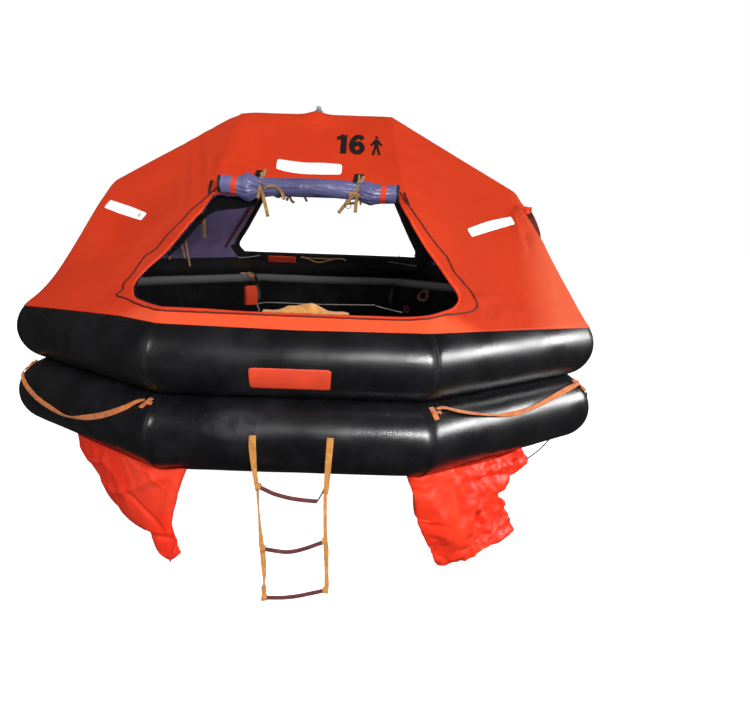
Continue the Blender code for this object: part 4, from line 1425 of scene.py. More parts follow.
def make_ties(word, sign):
    """Webbing ties round a roll, crossed over it, with their tails hanging."""
    seat = curtain_seat(sign)
    for place, tie_x in zip(("left", "right"), TIE_PLACES):
        tie = "curtain_tie_%s_%s" % (word, place)
        for k, shape in enumerate(TIE_STRAPS[place]):
            tie_strap("%s_%d" % (tie, k + 1), seat, sign, tie_x, k, shape, () if k else (tie,))
        tie_pad("tie_pad_%s_%s" % (word, place), seat, sign, tie_x, TIE_PADS[place])


make_ties("front", -1)
make_ties("rear", 1)


# Small pieces seen through the front door
HANGING_TIES = (((-0.866, 0.520, 0.909), (-0.860, 0.520, 0.830), (-0.8525, 0.520, 0.7206)),
                ((-0.964, 0.600, 0.790), (-1.007, 0.600, 0.698), (-0.996, 0.600, 0.610),
                 (-0.977, 0.600, 0.502)),
                ((-1.050, 0.620, 0.708), (-1.034, 0.620, 0.622), (-1.017, 0.620, 0.558)),
                ((-1.140, 0.660, 0.640), (-1.146, 0.670, 0.593), (-1.150, 0.680, 0.542)))
HANGING_WIDTHS = (0.026, 0.013, 0.013, 0.013)
ZIP_TAPE = ((-0.545, 0.800, 0.955), (-0.563, 0.795, 0.939), (-0.673, 0.925, 0.792), (-0.787, 1.048, 0.640))
GREY_STRIPS = (((-0.715, 1.250, 0.541), (-0.633, 1.300, 0.549), (-0.535, 1.330, 0.566)),
              ((0.520, 1.332, 0.547), (0.639, 1.352, 0.533), (0.760, 1.252, 0.522)))
CABIN_PLATE = ((-0.481, 1.308, 0.566), (-0.250, 1.308, 0.564), (-0.254, 1.398, 0.503), (-0.489, 1.400, 0.503))
HAND_LINE = ((-0.206, 1.305, 0.563), (-0.148, 1.325, 0.549), (-0.067, 1.370, 0.521), (0.018, 1.335, 0.540),
             (0.090, 1.330, 0.558), (0.125, 1.325, 0.562), (0.169, 1.325, 0.546))
HAND_LINE_BACK = ((-0.206, 1.309, 0.565), (-0.100, 1.318, 0.556), (0.020, 1.322, 0.556), (0.125, 1.322, 0.560))
SILL_LINE = ((-0.205, -1.430, 0.382), (-0.196, -1.422, 0.425), (-0.178, -1.420, 0.464), (0.121, -1.420, 0.466),
             (0.408, -1.420, 0.472))
KNOT_LINE = ((0.412, -1.420, 0.468), (0.480, -1.420, 0.452), (0.550, -1.415, 0.438))
# The lines with their radius and surface
CABIN_LINES = {"hand_line": (HAND_LINE, 0.0055, WEB_KHAKI),
               "hand_line_back": (HAND_LINE_BACK, 0.004, WEB_KHAKI),
               "sill_line": (SILL_LINE, 0.0020, LINE_GREY), "knot_line": (KNOT_LINE, 0.0018, LINE_GREY)}
# Strap that lies folded on the sill: x, lower and upper edge
SILL_STRAP = ((-0.165, 0.431, 0.437), (-0.100, 0.432, 0.438), (-0.060, 0.431, 0.449), (-0.035, 0.430, 0.461),
              (0.000, 0.430, 0.463), (0.040, 0.430, 0.471), (0.081, 0.430, 0.477), (0.106, 0.429, 0.470),
              (0.145, 0.429, 0.452), (0.170, 0.430, 0.441), (0.205, 0.431, 0.437), (0.240, 0.431, 0.440),
              (0.275, 0.431, 0.434))
SILL_FRONT_Y, SILL_DEEP, SILL_ROWS = -1.545, 0.045, 12
# The rescue ring and the tangled line on the tube's inner side: s, angle, and their reach along and round it
RING_PLACE, RING_REACH = (0.675, 154.0), (0.040, 11.0)
TANGLE_PLACE, TANGLE_REACH, TANGLE_TURNS = (0.830, 188.0), (0.030, 6.5), 3


def tube_patch(name, s_range, angles, surface, lift=0.004):
    """A patch of cloth on the upper tube."""
    across, down = 12, 8
    rows = []
    for i in range(down + 1):
        angle = angles[0] + (angles[1] - angles[0]) * i / down
        rows.append([on_tube(s_range[0] + (s_range[1] - s_range[0]) * j / across, angle, UPPER_Z,
                             lift + 0.002 * math.sin(j * 0.9 + i * 0.5)) for j in range(across + 1)])
    cloth_piece(name, rows, surface, 0.002)


def make_hanging_ties():
    for number, (points, width) in enumerate(zip(HANGING_TIES, HANGING_WIDTHS)):
        line = curve(points, 6)
        sides = [Vector((math.cos(0.5 * math.sin(i * 0.3)), 0.3, 0.0)) for i in range(len(line))]
        made = ribbon("hanging_tie_%d" % (number + 1), line, sides, width, 0.0025, WEB_KHAKI)


def make_tapes():
    """The zip with its tape, and thin light grey strips on the lining's lower edge."""
    side = Vector((1.0, 0.5, 0.0))
    line = curve(ZIP_TAPE, 8)
    ribbon("zip_tape", line, side, 0.026, 0.003, WEB_RED)
    ribbon("zip_teeth", [p - ALONG_Y * 0.003 for p in line], side, 0.007, 0.003, LINING_BLACK)
    across = Vector((0.0, 0.5, -0.8))
    for number, points in enumerate(GREY_STRIPS):
        ribbon("edge_tape_%d" % (number + 1), curve(points, 6), across, 0.010, 0.002, EDGE_GREY)


def make_cabin_plate():
    """The blank red plate on the rear tube and two tabs beside it."""
    a, b, c, d = (Vector(p) for p in CABIN_PLATE)
    rows = [[a.lerp(b, j / 10).lerp(d.lerp(c, j / 10), i / 5) for j in range(11)] for i in range(6)]
    cloth_piece("cabin_plate", rows, PLATE_RED, 0.003)
    tube_patch("cabin_tab", (2.016, 2.110), (92.0, 106.0), WEB_AMBER)
    tube_patch("cabin_tab_low", (2.008, 2.060), (104.0, 121.0), WEB_ORANGE, 0.007)


def make_sill_strap():
    """The amber strap that lies folded on the sill of the front door."""
    rows = []
    for i in range(SILL_ROWS + 1):
        part = i / SILL_ROWS
        row = [Vector((x, SILL_FRONT_Y + SILL_DEEP * part, low + (high - low) * math.sin(math.pi / 2 * part)))
               for x, low, high in SILL_STRAP]
        rows.append([p + ALONG_Y * (0.016 * fbm(Vector((p.x * 10, i * 0.10, 0.0)), 1.6, 3, 2.0))
                     for p in smooth_line(row, 12)])
    cloth_piece("sill_strap", rows, WEB_AMBER, 0.003)


def make_ring_and_tangle():
    """The rescue ring and a tangled line on the inner side of the tube."""
    line = []
    for i in range(25):
        turn = math.tau * i / 24
        wave = 1.0 + 0.12 * math.sin(3 * turn + 0.6)
        line.append(on_tube(RING_PLACE[0] + RING_REACH[0] * wave * math.cos(turn),
                            RING_PLACE[1] + RING_REACH[1] * wave * math.sin(turn), UPPER_Z, 0.014))
    tube_along("rescue_ring", line, 0.015, WEB_MAROON)
    tangle = []
    for i in range(73):
        turn = math.tau * TANGLE_TURNS * i / 72
        reach = 1.0 - 0.35 * i / 72
        drift = 2.0 * math.cos(turn / TANGLE_TURNS)
        angle = TANGLE_PLACE[1] + TANGLE_REACH[1] * math.sin(turn) * reach + drift
        s = TANGLE_PLACE[0] + TANGLE_REACH[0] * reach * math.cos(turn)
        tangle.append(on_tube(s, angle, UPPER_Z, 0.006 + 0.010 * i / 72))
    free_cord("line_tangle", tangle, 0.0032, WEB_RED)


make_hanging_ties()
make_tapes()
make_cabin_plate()
for line_name, (route, thick, cloth) in CABIN_LINES.items():
    free_cord(line_name, curve(route, 10), thick, cloth)
make_sill_strap()
make_ring_and_tangle()


# Lookout port on the right side behind the arch
LOOKOUT_R, LOOKOUT_Y, LOOKOUT_Z = 0.105, 0.125, 0.885
# Profile of its cuff from the outer foot over the edge to the soft window: height and part of the radius
CUFF_PROFILE = ((-0.012, 1.00), (0.012, 1.01), (0.030, 0.98), (0.046, 1.00), (0.056, 1.02), (0.060, 0.98),
                (0.056, 0.92), (0.036, 0.88), (0.022, 0.60), (0.018, 0.05))
# Upper and lower edge of the small flap over the port
FLAP_EDGES = (((1.318, -0.135, 1.029), (1.372, -0.160, 1.022), (1.428, -0.120, 1.018)),
              ((1.340, -0.165, 1.000), (1.385, -0.200, 0.972), (1.420, -0.165, 0.990)))


def make_cuff():
    """Dark pleated cuff of the lookout port and its soft window."""
    low = ARCH_LINES["right"][1][0]
    normal = Vector((low.x, 0.0, low.y)).normalized()
    foot, _, _, _ = SHELL.ray_cast(Vector((3.0, LOOKOUT_Y, LOOKOUT_Z)), -ALONG_X)
    over = normal.cross(ALONG_Y).normalized()
    rows = []
    for rise, size in CUFF_PROFILE:
        row = []
        for j in range(72):
            turn = math.tau * j / 72
            wave = math.sin(turn * 13 + 2.0 * math.sin(turn * 2))
            pleat = 1.0 + 0.030 * wave * min(1.0, max(0.0, rise) * 40) * (size > 0.8)
            r = LOOKOUT_R * size * pleat
            row.append(foot + normal * rise + (ALONG_Y * math.cos(turn) + over * math.sin(turn)) * r)
        rows.append(row)
    cuff = piece("lookout_cuff", outward_faces(grid_mesh("lookout_cuff", rows, close=True)), CUFF_BROWN,
                 replaces=("lookout_sleeve",))


def make_flap():
    """The ruffled flap above the lookout port."""
    rows = []
    for i, (a, b) in enumerate(zip(*(curve(line, 12) for line in FLAP_EDGES))):
        ruffle = [-0.012 * math.sin(math.pi * part / 6) * math.sin(i * 0.55) for part in range(7)]
        rows.append([a.lerp(b, part / 6) + ALONG_Y * ruffle[part] for part in range(7)])
    cloth_piece("lookout_flap", rows, ORANGE_HEM, 0.003)


make_cuff()
make_flap()


# Lamp on the ridge: radius and height
LAMP_PROFILE = ((0.026, -0.020), (0.026, 0.002), (0.023, 0.006), (0.015, 0.008), (0.013, 0.010))
LENS_PROFILE = ((0.013, 0.008), (0.0175, 0.014), (0.0180, 0.020), (0.0150, 0.028), (0.0090, 0.033),
                (0.0005, 0.0345))


def make_lamp(name, profile, surface, replaced):
    """Half of the exterior light, on the bump of the ridge."""
    foot, _, _, _ = SHELL.ray_cast(Vector((0.0, 0.0, 3.0)), -UPWARD)
    turns = [math.tau * j / 32 for j in range(32)]
    rows = [[foot + Vector((r * math.cos(turn), r * math.sin(turn), z)) for turn in turns] for r, z in profile]
    piece(name, outward_faces(grid_mesh(name, rows, close=True), 40), surface, replaces=(replaced,))


make_lamp("ridge_light_base", LAMP_PROFILE, LAMP_BASE, "light_base")
make_lamp("ridge_light_lens", LENS_PROFILE, LAMP_CLEAR, "light_lamp")


# Boarding plates: half width, half height and middle as angles round the upper tube, and the corners' radius
PLATE_HALF, PLATE_HALF_ANGLE, PLATE_ANGLE, PLATE_CORNER = 0.203, 16.5, -21.5, 0.014
PLATE_COLUMNS, PLATE_ROWS = 40, 14


def make_plate(name, middle):
    """A blank boarding plate with rounded corners on the upper tube, round s = middle."""
    rows = []
    for i in range(PLATE_ROWS + 1):
        angle = (2 * (i / PLATE_ROWS) - 1) * PLATE_HALF_ANGLE
        edge = math.radians(PLATE_HALF_ANGLE) * TUBE_R - PLATE_CORNER
        over = max(0.0, abs(math.radians(angle) * TUBE_R) - edge)
        limit = PLATE_HALF - (PLATE_CORNER - math.sqrt(max(0.0, PLATE_CORNER ** 2 - over ** 2)))
        row = []
        for j in range(PLATE_COLUMNS + 1):
            x = max(-limit, min(limit, (2 * (j / PLATE_COLUMNS) - 1) * PLATE_HALF))
            row.append(on_tube((middle + x / RUN_LENGTH) % SIDES, PLATE_ANGLE + angle, UPPER_Z, 0.0030))
        rows.append(row)
    work = bmesh.new()
    add_rows(work, rows)
    bmesh.ops.remove_doubles(work, verts=work.verts, dist=0.00002)
    mesh = outward_faces(saved(work, bpy.data.meshes.new(name + "_face")))
    plate = piece(name + "_face", mesh, PLATE_RED, replaces=(name,))
    solidify(plate, 0.002)


make_plate("boarding_plate_front", 5.5)
make_plate("boarding_plate_rear", 9.5)


# Lifelines: routes of the two loops beside the front door, as places along the run and angles round the tube
LOOP_LEFT = ((-0.020, 40.0), (0.045, 20.0), (0.157, 4.0), (0.234, -3.0), (0.336, -8.5), (0.437, -10.5),
             (0.560, -4.0), (0.722, 11.5), (0.850, 31.0), (0.905, 45.0), (0.945, 53.0))
LOOP_RIGHT = ((0.045, 54.0), (0.087, 53.5), (0.135, 46.0), (0.183, 40.0), (0.271, 31.5), (0.365, 25.0),
              (0.485, 22.0), (0.565, 23.5), (0.653, 27.5), (0.749, 33.0), (0.880, 41.5), (0.990, 47.0))
LOOP_ROUTES = {0: LOOP_RIGHT, 2: LOOP_LEFT, 3: LOOP_RIGHT, 4: LOOP_LEFT, 6: LOOP_RIGHT, 7: LOOP_LEFT}
# Twist of a run's loop: its middle, its spread and its turn in degrees
RUN_TWIST = {4: (0.35, 1.0, 20.0), 6: (0.42, 0.9, 75.0)}
USUAL_TWIST = (0.5, 1.0, 30.0)
# The runs whose corner pieces differ, as the photo shows them
LEFT_RUN, RIGHT_RUN = 5, 6
TAB_SECTION = (-0.0130, -0.0125, -0.006, 0.0, 0.006, 0.0125, 0.0130)
KNOT_WIDTHS = [0.020, 0.024, 0.018, 0.014, 0.018, 0.024, 0.018]


def run_point(k, part, angle, lift):
    """A place on the lower tube's run k, carried a little past its ends round the corner."""
    return on_tube((k + part) % SIDES, angle, LOWER_Z, lift)


def lifeline_tab(k):
    """Webbing tab that holds the loops at corner k."""
    low, lean, aside = (40.0, -0.030, -0.022) if k == LEFT_RUN else (38.0, 0.004, 0.0)
    if k == RIGHT_RUN:
        aside = 0.026
    rows = []
    for i in range(9):
        shift = lean * (1 - i / 8) + aside
        rows.append([run_point(k, shift + t, low + (60.0 - low) * i / 8, 0.0035) for t in TAB_SECTION])
    cloth_piece("lifeline_tab_%d" % (k + 1), rows, WEB_ORANGE, 0.003,
                replaces=("lifeline_patch_%d" % (k + 1),))


def lifeline_knot(k):
    """Webbing gathered over the tab at corner k."""
    aside = 0.040 if k == RIGHT_RUN else -0.020
    slope = 60 if k == LEFT_RUN else -60
    line = []
    for i in range(7):
        t = 0.045 * (i / 6 - 0.5) + aside
        line.append(run_point(k, t, 51.0 + slope * t, 0.0085 + 0.002 * math.sin(t * 90)))
    ribbon("lifeline_knot_%d" % (k + 1), line, tube_normal(k, 141.0), KNOT_WIDTHS, 0.004, WEB_ORANGE)


def lifeline_loop(number, k, route):
    """The webbing loop along run k, a little twisted and narrower where it turns on edge."""
    places = curve(route, 8)
    middle, spread, turn = RUN_TWIST.get(k, USUAL_TWIST)
    line, sides, widths = [], [], []
    narrow = 0.34 if k in (0, 3, 6) else 0.47
    for part, angle in places:
        twist = math.radians(turn) * math.sin((part - middle) * 6.0) * bell(part - middle, 0.28 * spread)
        twist += 0.25 * noise.noise(Vector((k * 3.1, part * 4, 0.0)))
        line.append(run_point(k, part, angle, 0.0065 + 0.013 * abs(math.sin(twist))))
        normal = tube_normal(k + 0.5, angle)
        along = (run_point(k, 0.9, angle, 0.0) - run_point(k, 0.1, angle, 0.0)).normalized()
        sides.append(normal.cross(along).normalized() * math.cos(twist) + normal * math.sin(twist))
        from_end = min(abs(part - places[0].x), abs(part - places[-1].x))
        widths.append(min(0.012 + 0.020 * min(1.0, abs(part - narrow) / 0.13), 0.017 + 0.20 * from_end))
    made = ribbon("lifeline_loop_%d" % number, line, sides, widths, 0.0026, WEB_ORANGE,
                  replaces=("lifeline_%d" % number,))


for corner in range(SIDES):
    lifeline_tab(corner)
    lifeline_knot(corner)
for loop_number, (loop_run, loop_route) in enumerate(LOOP_ROUTES.items(), 1):
    lifeline_loop(loop_number, loop_run, loop_route)


# Webbing rails of the boarding ladder: height, x, width and twist in degrees, top to bottom, for each bay
RAILS = {
    "left": (((-0.168, -0.178, 0.034, 0), (-0.215, -0.178, 0.036, 0), (-0.259, -0.174, 0.034, 0),
              (-0.333, -0.166, 0.026, 20), (-0.440, -0.150, 0.020, 35)),
             ((-0.440, -0.148, 0.018, 55), (-0.531, -0.144, 0.020, 80), (-0.640, -0.134, 0.022, 60),
              (-0.735, -0.124, 0.026, 5)),
             ((-0.735, -0.122, 0.027, 0), (-0.800, -0.115, 0.027, 10), (-0.880, -0.109, 0.025, 40),
              (-0.930, -0.110, 0.018, 70), (-0.960, -0.111, 0.026, 0), (-1.012, -0.106, 0.020, 10))),
    "right": (((-0.161, 0.207, 0.034, 0), (-0.215, 0.205, 0.034, 0), (-0.271, 0.202, 0.032, 5),
               (-0.395, 0.196, 0.028, 15), (-0.450, 0.191, 0.026, 10)),
              ((-0.450, 0.190, 0.020, 35), (-0.570, 0.192, 0.021, 40), (-0.671, 0.196, 0.022, 30),
               (-0.735, 0.201, 0.026, 5)),
              ((-0.735, 0.202, 0.026, 0), (-0.850, 0.206, 0.022, 25), (-0.930, 0.209, 0.024, 15),
               (-0.962, 0.206, 0.022, 0))),
}
# Middle lines of the rungs in x and z
RUNGS = (((-0.146, -0.421), (-0.073, -0.454), (0.000, -0.474), (0.071, -0.484), (0.150, -0.489)),
         ((-0.118, -0.747), (-0.044, -0.758), (0.016, -0.760), (0.088, -0.742), (0.194, -0.699)),
         ((-0.108, -1.010), (-0.016, -1.007), (0.057, -0.997), (0.130, -0.979), (0.203, -0.960)))
# Angles of the rails' leads round the lower tube, and the places across a rung's wrap
LEAD_ANGLES = (10, 7, 4, 1)
WRAP_SECTION = (-0.014, -0.0135, 0.0, 0.0135, 0.014)
# Where the cord at the top rung's right end is tied to the rail
CORD_TOP = Vector((0.190, LADDER_Y, -0.400))


def ladder_rail(bay, word, side):
    """A rail of one bay; the top one starts from a lead that is bonded to the tube."""
    path = curve([(z, x, w) for z, x, w, _ in RAILS[side][bay]], 8)
    twists = [math.radians(t.x) for t in curve([(t, 0.0) for *_, t in RAILS[side][bay]], 8)]
    line = [Vector((x, LADDER_Y - 0.003 - 0.003 * math.sin(z * 14), z)) for z, x, _ in path]
    sides = [Vector((math.cos(t), math.sin(t), 0.0)) for t in twists]
    ribbon("ladder_rail_%s_%s" % (word, side), line, sides, [w for _, _, w in path], 0.003, WEB_AMBER,
           "ladder_" + word, replaces=("ladder_strap_%s_%s" % (word, side),))
    if bay == 0:
        s = 5.5 + line[0].x / RUN_LENGTH
        lead = [on_tube(s, angle, LOWER_Z, 0.0045) for angle in LEAD_ANGLES]
        ribbon("ladder_lead_" + side, lead, ALONG_X, 0.033, 0.004, WEB_AMBER,
               replaces=("ladder_patch_" + side,))


def ladder_wrap(name, place, tilt, body):
    """Webbing sewn round the end of a rung."""
    rows = []
    for i in range(15):
        turn = math.tau * i / 14
        rows.append([place + Vector((dx, 0.0150 * math.cos(turn), 0.0145 * math.sin(turn) + 0.3 * dx * tilt))
                     for dx in WRAP_SECTION])
    cloth_piece(name, rows, WEB_AMBER, 0.003, body)


def ladder_rung(bay, word):
    """A slack rung and what holds its ends: webbing, or a cord at the right end of the top one."""
    body = "ladder_" + word
    line = curve([(x, LADDER_Y - 0.002, z) for x, z in RUNGS[bay]], 8)
    tube_along("ladder_rung_web_%d" % (bay + 1), line, 0.0105, WEB_MAROON, body,
               replaces=("ladder_rung_%d" % (bay + 1),), sides=12)
    ladder_wrap("ladder_wrap_%s_1" % word, line[0], 0.5, body)
    if bay > 0:
        ladder_wrap("ladder_wrap_%s_2" % word, line[-1], -0.5, body)
        return
    end = line[-1]
    cord = [end, end + Vector((0.012, 0.0, 0.020)), end + Vector((0.030, 0.0, 0.058)), CORD_TOP]
    free_cord("ladder_rung_cord", smooth_line(cord, 6), 0.004, WEB_MAROON, body=body)


for bay_number, bay_word in enumerate(("top", "middle", "low")):
    for rail_side in ("left", "right"):
        ladder_rail(bay_number, bay_word, rail_side)
    ladder_rung(bay_number, bay_word)


# Water pockets: limp nylon bags. Sides as places along the run from its middle and heights, outer side then
# front side
SMOOTH_BAG = (((-0.380, -0.385), (-0.356, -0.437), (-0.315, -0.502), (-0.144, -0.600), (-0.037, -0.687),
               (0.126, -0.771), (0.304, -0.812), (0.443, -0.820), (0.520, -0.893), (0.655, -0.912)),
              ((0.805, -0.365), (0.735, -0.513), (0.668, -0.670), (0.672, -0.710), (0.745, -0.838)))
CRUMPLED_BAG = (((-0.305, -0.400), (-0.350, -0.464), (-0.386, -0.504), (-0.330, -0.545), (-0.205, -0.592),
                 (-0.058, -0.636), (-0.165, -0.703), (-0.222, -0.800), (-0.302, -0.926)),
                ((0.695, -0.385), (0.603, -0.634), (0.588, -0.690), (0.432, -0.942), (0.368, -0.974)))
# Each pocket: run, way along the run towards the door, sides, growth of the cloth, dip of its bottom, seed
POCKETS = ((4, 1, SMOOTH_BAG, 0.012, 0.0, 1.0), (6, -1, CRUMPLED_BAG, 0.10, 0.004, 2.0),
           (0, 1, CRUMPLED_BAG, 0.10, 0.010, 3.0), (2, -1, SMOOTH_BAG, 0.02, 0.0, 4.0))
# Creases of each kind of bag: lines of places along the run and heights, width, height
SMOOTH_CREASES = (
    (((-0.299, -0.484), (-0.141, -0.535), (0.054, -0.497), (0.290, -0.414), (0.579, -0.380)), 0.022, 0.010),
    (((0.780, -0.376), (0.601, -0.471), (0.386, -0.578), (0.183, -0.645), (-0.032, -0.630)), 0.040, 0.017),
    (((0.361, -0.598), (0.482, -0.659), (0.576, -0.712), (0.633, -0.787)), 0.034, -0.014),
    (((0.444, -0.810), (0.575, -0.795), (0.723, -0.780)), 0.025, -0.018),
    (((0.758, -0.407), (0.668, -0.582), (0.622, -0.711)), 0.035, 0.013),
    (((0.390, -0.405), (0.579, -0.438), (0.669, -0.505)), 0.028, 0.010),
    (((0.020, -0.430), (0.220, -0.520), (0.320, -0.640), (0.340, -0.760)), 0.060, 0.008))
CRUMPLED_CREASES = (
    (((0.267, -0.441), (0.098, -0.453), (-0.124, -0.460), (-0.311, -0.458)), 0.035, 0.022),
    (((0.243, -0.486), (0.138, -0.487), (-0.038, -0.515), (-0.224, -0.537)), 0.035, -0.026),
    (((0.308, -0.433), (0.279, -0.547), (0.289, -0.681), (0.255, -0.856)), 0.045, 0.034),
    (((0.248, -0.677), (0.158, -0.754), (-0.001, -0.835)), 0.035, -0.032),
    (((0.041, -0.611), (-0.095, -0.641), (-0.194, -0.589)), 0.030, -0.022),
    (((0.315, -0.882), (0.148, -0.883), (-0.050, -0.891), (-0.234, -0.878)), 0.030, -0.020),
    (((0.242, -0.500), (0.194, -0.579), (0.230, -0.640), (0.116, -0.750)), 0.030, 0.026),
    (((0.075, -0.478), (0.019, -0.616), (-0.061, -0.763), (-0.023, -0.841)), 0.035, 0.024),
    (((-0.097, -0.655), (-0.176, -0.760), (-0.138, -0.854)), 0.030, 0.018),
    (((0.612, -0.489), (0.488, -0.661), (0.436, -0.863)), 0.060, 0.018),
    (((0.444, -0.459), (0.355, -0.612), (0.324, -0.755)), 0.045, -0.020))
BAG_ROWS, BAG_COLUMNS = 54, 46
BAG_AROUND = 2 * BAG_COLUMNS
# Half depth of a bag at its mouth and at its bottom
BAG_DEPTH = (0.105, 0.030)
CLOTH_FRAMES, QUICK_FRAMES = 24, 2


def crease_height(x, z, creases):
    """Height of sharp creases at a place on a bag."""
    total = 0.0
    for line, width, height in creases:
        off, part = away_from(x, z, line)
        fade = 0.4 + 0.6 * math.sin(math.pi * min(1.0, part + 0.15))
        total += height * max(0.0, 1 - off / width) ** 1.4 * fade
    return total


def crumple(place, cell, seed):
    """Facets of crumpled nylon: cones between sharp edges."""
    shift = ALONG_X * seed
    moved = place / cell + shift + noise.noise_vector(place * 5 + shift) * 0.5
    return noise.voronoi(moved)[0][0] * cell


def even_side(points, count):
    """Places at even steps along a smooth side."""
    line = curve(points, 10)
    lengths = [0.0]
    for a, b in zip(line, line[1:]):
        lengths.append(lengths[-1] + (b - a).length)
    out, at = [], 0
    for i in range(count + 1):
        want = lengths[-1] * i / count
        while at < len(line) - 2 and lengths[at + 1] < want:
            at += 1
        part = (want - lengths[at]) / max(lengths[at + 1] - lengths[at], 1e-9)
        out.append(line[at].lerp(line[at + 1], part))
    return out


def clear_of_tube(p, gap):
    """Moves a place out of the lower tube."""
    q = reach_of(p) - TUBE_HALF
    rise = p.z - LOWER_Z
    away = math.hypot(q, rise)
    if away >= TUBE_R + gap:
        return p
    push = TUBE_R + gap - away
    flat = max(RUN_NORMALS, key=lambda n: p.x * n.x + p.y * n.y)
    return p + Vector((flat.x * q / away, flat.y * q / away, rise / away)) * push


def bag_axes(k, way):
    """Outward direction of run k, and the direction along it."""
    normal = RUN_NORMALS[k]
    return Vector((normal.x, normal.y, 0.0)), Vector((-normal.y, normal.x, 0.0)) * way


def bag_point(u, t, side, spot, deep, dip, seed):
    """Place of a layer at part u across and t down, as distances along the run, outward and up."""
    d = side * deep * math.sin(math.pi * u) ** 0.6
    d += 0.006 * fbm(Vector((spot.x * 3, d * 3, spot.y * 3)), 2.0, 3, seed) * min(1.0, t * 6)
    return spot.x, d, spot.y - dip * math.sin(math.pi * u) * t ** 4


def bag_rows(k, way, sides, dip, seed):
    """Rings of points of a bag from its mouth down, and how firmly each is held."""
    normal = RUN_NORMALS[k]
    along = Vector((-normal.y, normal.x)) * way
    centre = normal * TUBE_HALF
    outer, front = (even_side(side, BAG_ROWS) for side in sides)
    rows, pins = [], []
    for i, (o, f) in enumerate(zip(outer, front)):
        t = i / BAG_ROWS
        deep = BAG_DEPTH[0] + (BAG_DEPTH[1] - BAG_DEPTH[0]) * min(1.0, t * 1.4)
        row = []
        for side in (1, -1):
            for j in range(BAG_COLUMNS):
                u = j / BAG_COLUMNS if side == 1 else 1 - j / BAG_COLUMNS
                x, d, z = bag_point(u, t, side, o.lerp(f, u), deep, dip, seed)
                p = Vector((centre.x + along.x * x + normal.x * d, centre.y + along.y * x + normal.y * d, z))
                row.append(clear_of_tube(p, 0.004))
                edge = min(u, 1 - u) < 0.001 or i == BAG_ROWS
                pins.append(1.0 if i == 0 else 0.60 * edge)
        rows.append(row)
    return rows, pins


def bag_object(number, k, way, sides, dip, seed):
    """One pocket before its cloth settles: two layers from its mouth under the tube to its bottom seam."""
    rows, pins = bag_rows(k, way, sides, dip, seed)
    work = bmesh.new()
    made = [[work.verts.new(p) for p in row] for row in rows]
    add_rings(work, made)
    low = made[-1]
    for j in range(1, BAG_COLUMNS - 1):
        work.faces.new((low[j], low[j + 1], low[BAG_AROUND - j - 1], low[BAG_AROUND - j]))
    work.faces.new((low[0], low[1], low[BAG_AROUND - 1]))
    work.faces.new((low[BAG_COLUMNS - 1], low[BAG_COLUMNS], low[BAG_COLUMNS + 1]))
    bmesh.ops.recalc_face_normals(work, faces=work.faces)
    mesh = saved(work, bpy.data.meshes.new("water_pocket_%d" % number))
    bag = bpy.data.objects.new(mesh.name + "_start", mesh)
    bpy.context.scene.collection.objects.link(bag)
    group = bag.vertex_groups.new(name="pin")
    for index, weight in enumerate(pins):
        if weight > 0.0:
            group.add([index], weight, "REPLACE")
    return bag


def add_cloth(bag, growth, frames):
    """Makes a bag of thin nylon that grows a little, so that it buckles into folds."""
    cloth = bag.modifiers.new("cloth", "CLOTH")
    values = cloth.settings
    values.quality = 5
    values.mass = 0.15
    values.tension_stiffness = values.compression_stiffness = 20.0
    values.shear_stiffness = 6.0
    values.bending_stiffness = 0.06
    values.tension_damping = values.compression_damping = 8.0
    values.air_damping = 2.0
    values.vertex_group_mass = "pin"
    values.pin_stiffness = 0.6
    values.shrink_min = -growth
    values.use_pressure = True
    values.uniform_pressure_force = 0.25
    values.effector_weights.gravity = 0.25
    cloth.collision_settings.use_collision = False
    cloth.point_cache.frame_end = frames
    finer = bag.modifiers.new("finer cloth", "SUBSURF")
    finer.levels = finer.render_levels = 1


def settle(bags, frames):
    """Runs the cloth of all bags together and returns the settled meshes."""
    for frame_number in range(1, frames + 1):
        bpy.context.scene.frame_set(frame_number)
    graph = bpy.context.evaluated_depsgraph_get()
    settled = [bpy.data.meshes.new_from_object(bag.evaluated_get(graph)) for bag in bags]
    for bag in bags:
        bpy.data.objects.remove(bag, do_unlink=True)
    bpy.context.scene.frame_set(1)
    return settled


def crease_bag(mesh, k, way, crumpled, seed):
    """Presses creases and facets into the settled cloth, deepest on its outer face."""
    out, along = bag_axes(k, way)
    creases = CRUMPLED_CREASES if crumpled else SMOOTH_CREASES
    for vert in mesh.vertices:
        p = vert.co
        x, z, d = p.dot(along), p.z, p.dot(out) - TUBE_HALF
        fade = clamp((-0.40 - z) / 0.05) * clamp((d + 0.02) / 0.03)
        if fade <= 0.0:
            continue
        rise = crease_height(x, z, creases)
        if crumpled:
            busy = 0.18 + 0.82 * clamp((0.38 - x) / 0.12)
            rise += busy * (0.36 * crumple(p, 0.13, seed) + 0.24 * crumple(p, 0.055, seed + 5.0) - 0.028)
        vert.co = p + out * rise * fade
    for vert in mesh.vertices:
        vert.co = clear_of_tube(vert.co, 0.003)


def pocket_cord(number, tip, out, along):
    """Cord from the corner of a crumpled bag up to the tube."""
    anchor = out * TUBE_HALF - along * 0.66 + UPWARD * (LOWER_Z - TUBE_R + 0.001)
    middle = tip.lerp(anchor, 0.5) - UPWARD * 0.012
    free_cord("pocket_cord_%d" % number, smooth_line([anchor, middle, tip], 8), 0.0046, LINE_DARK)


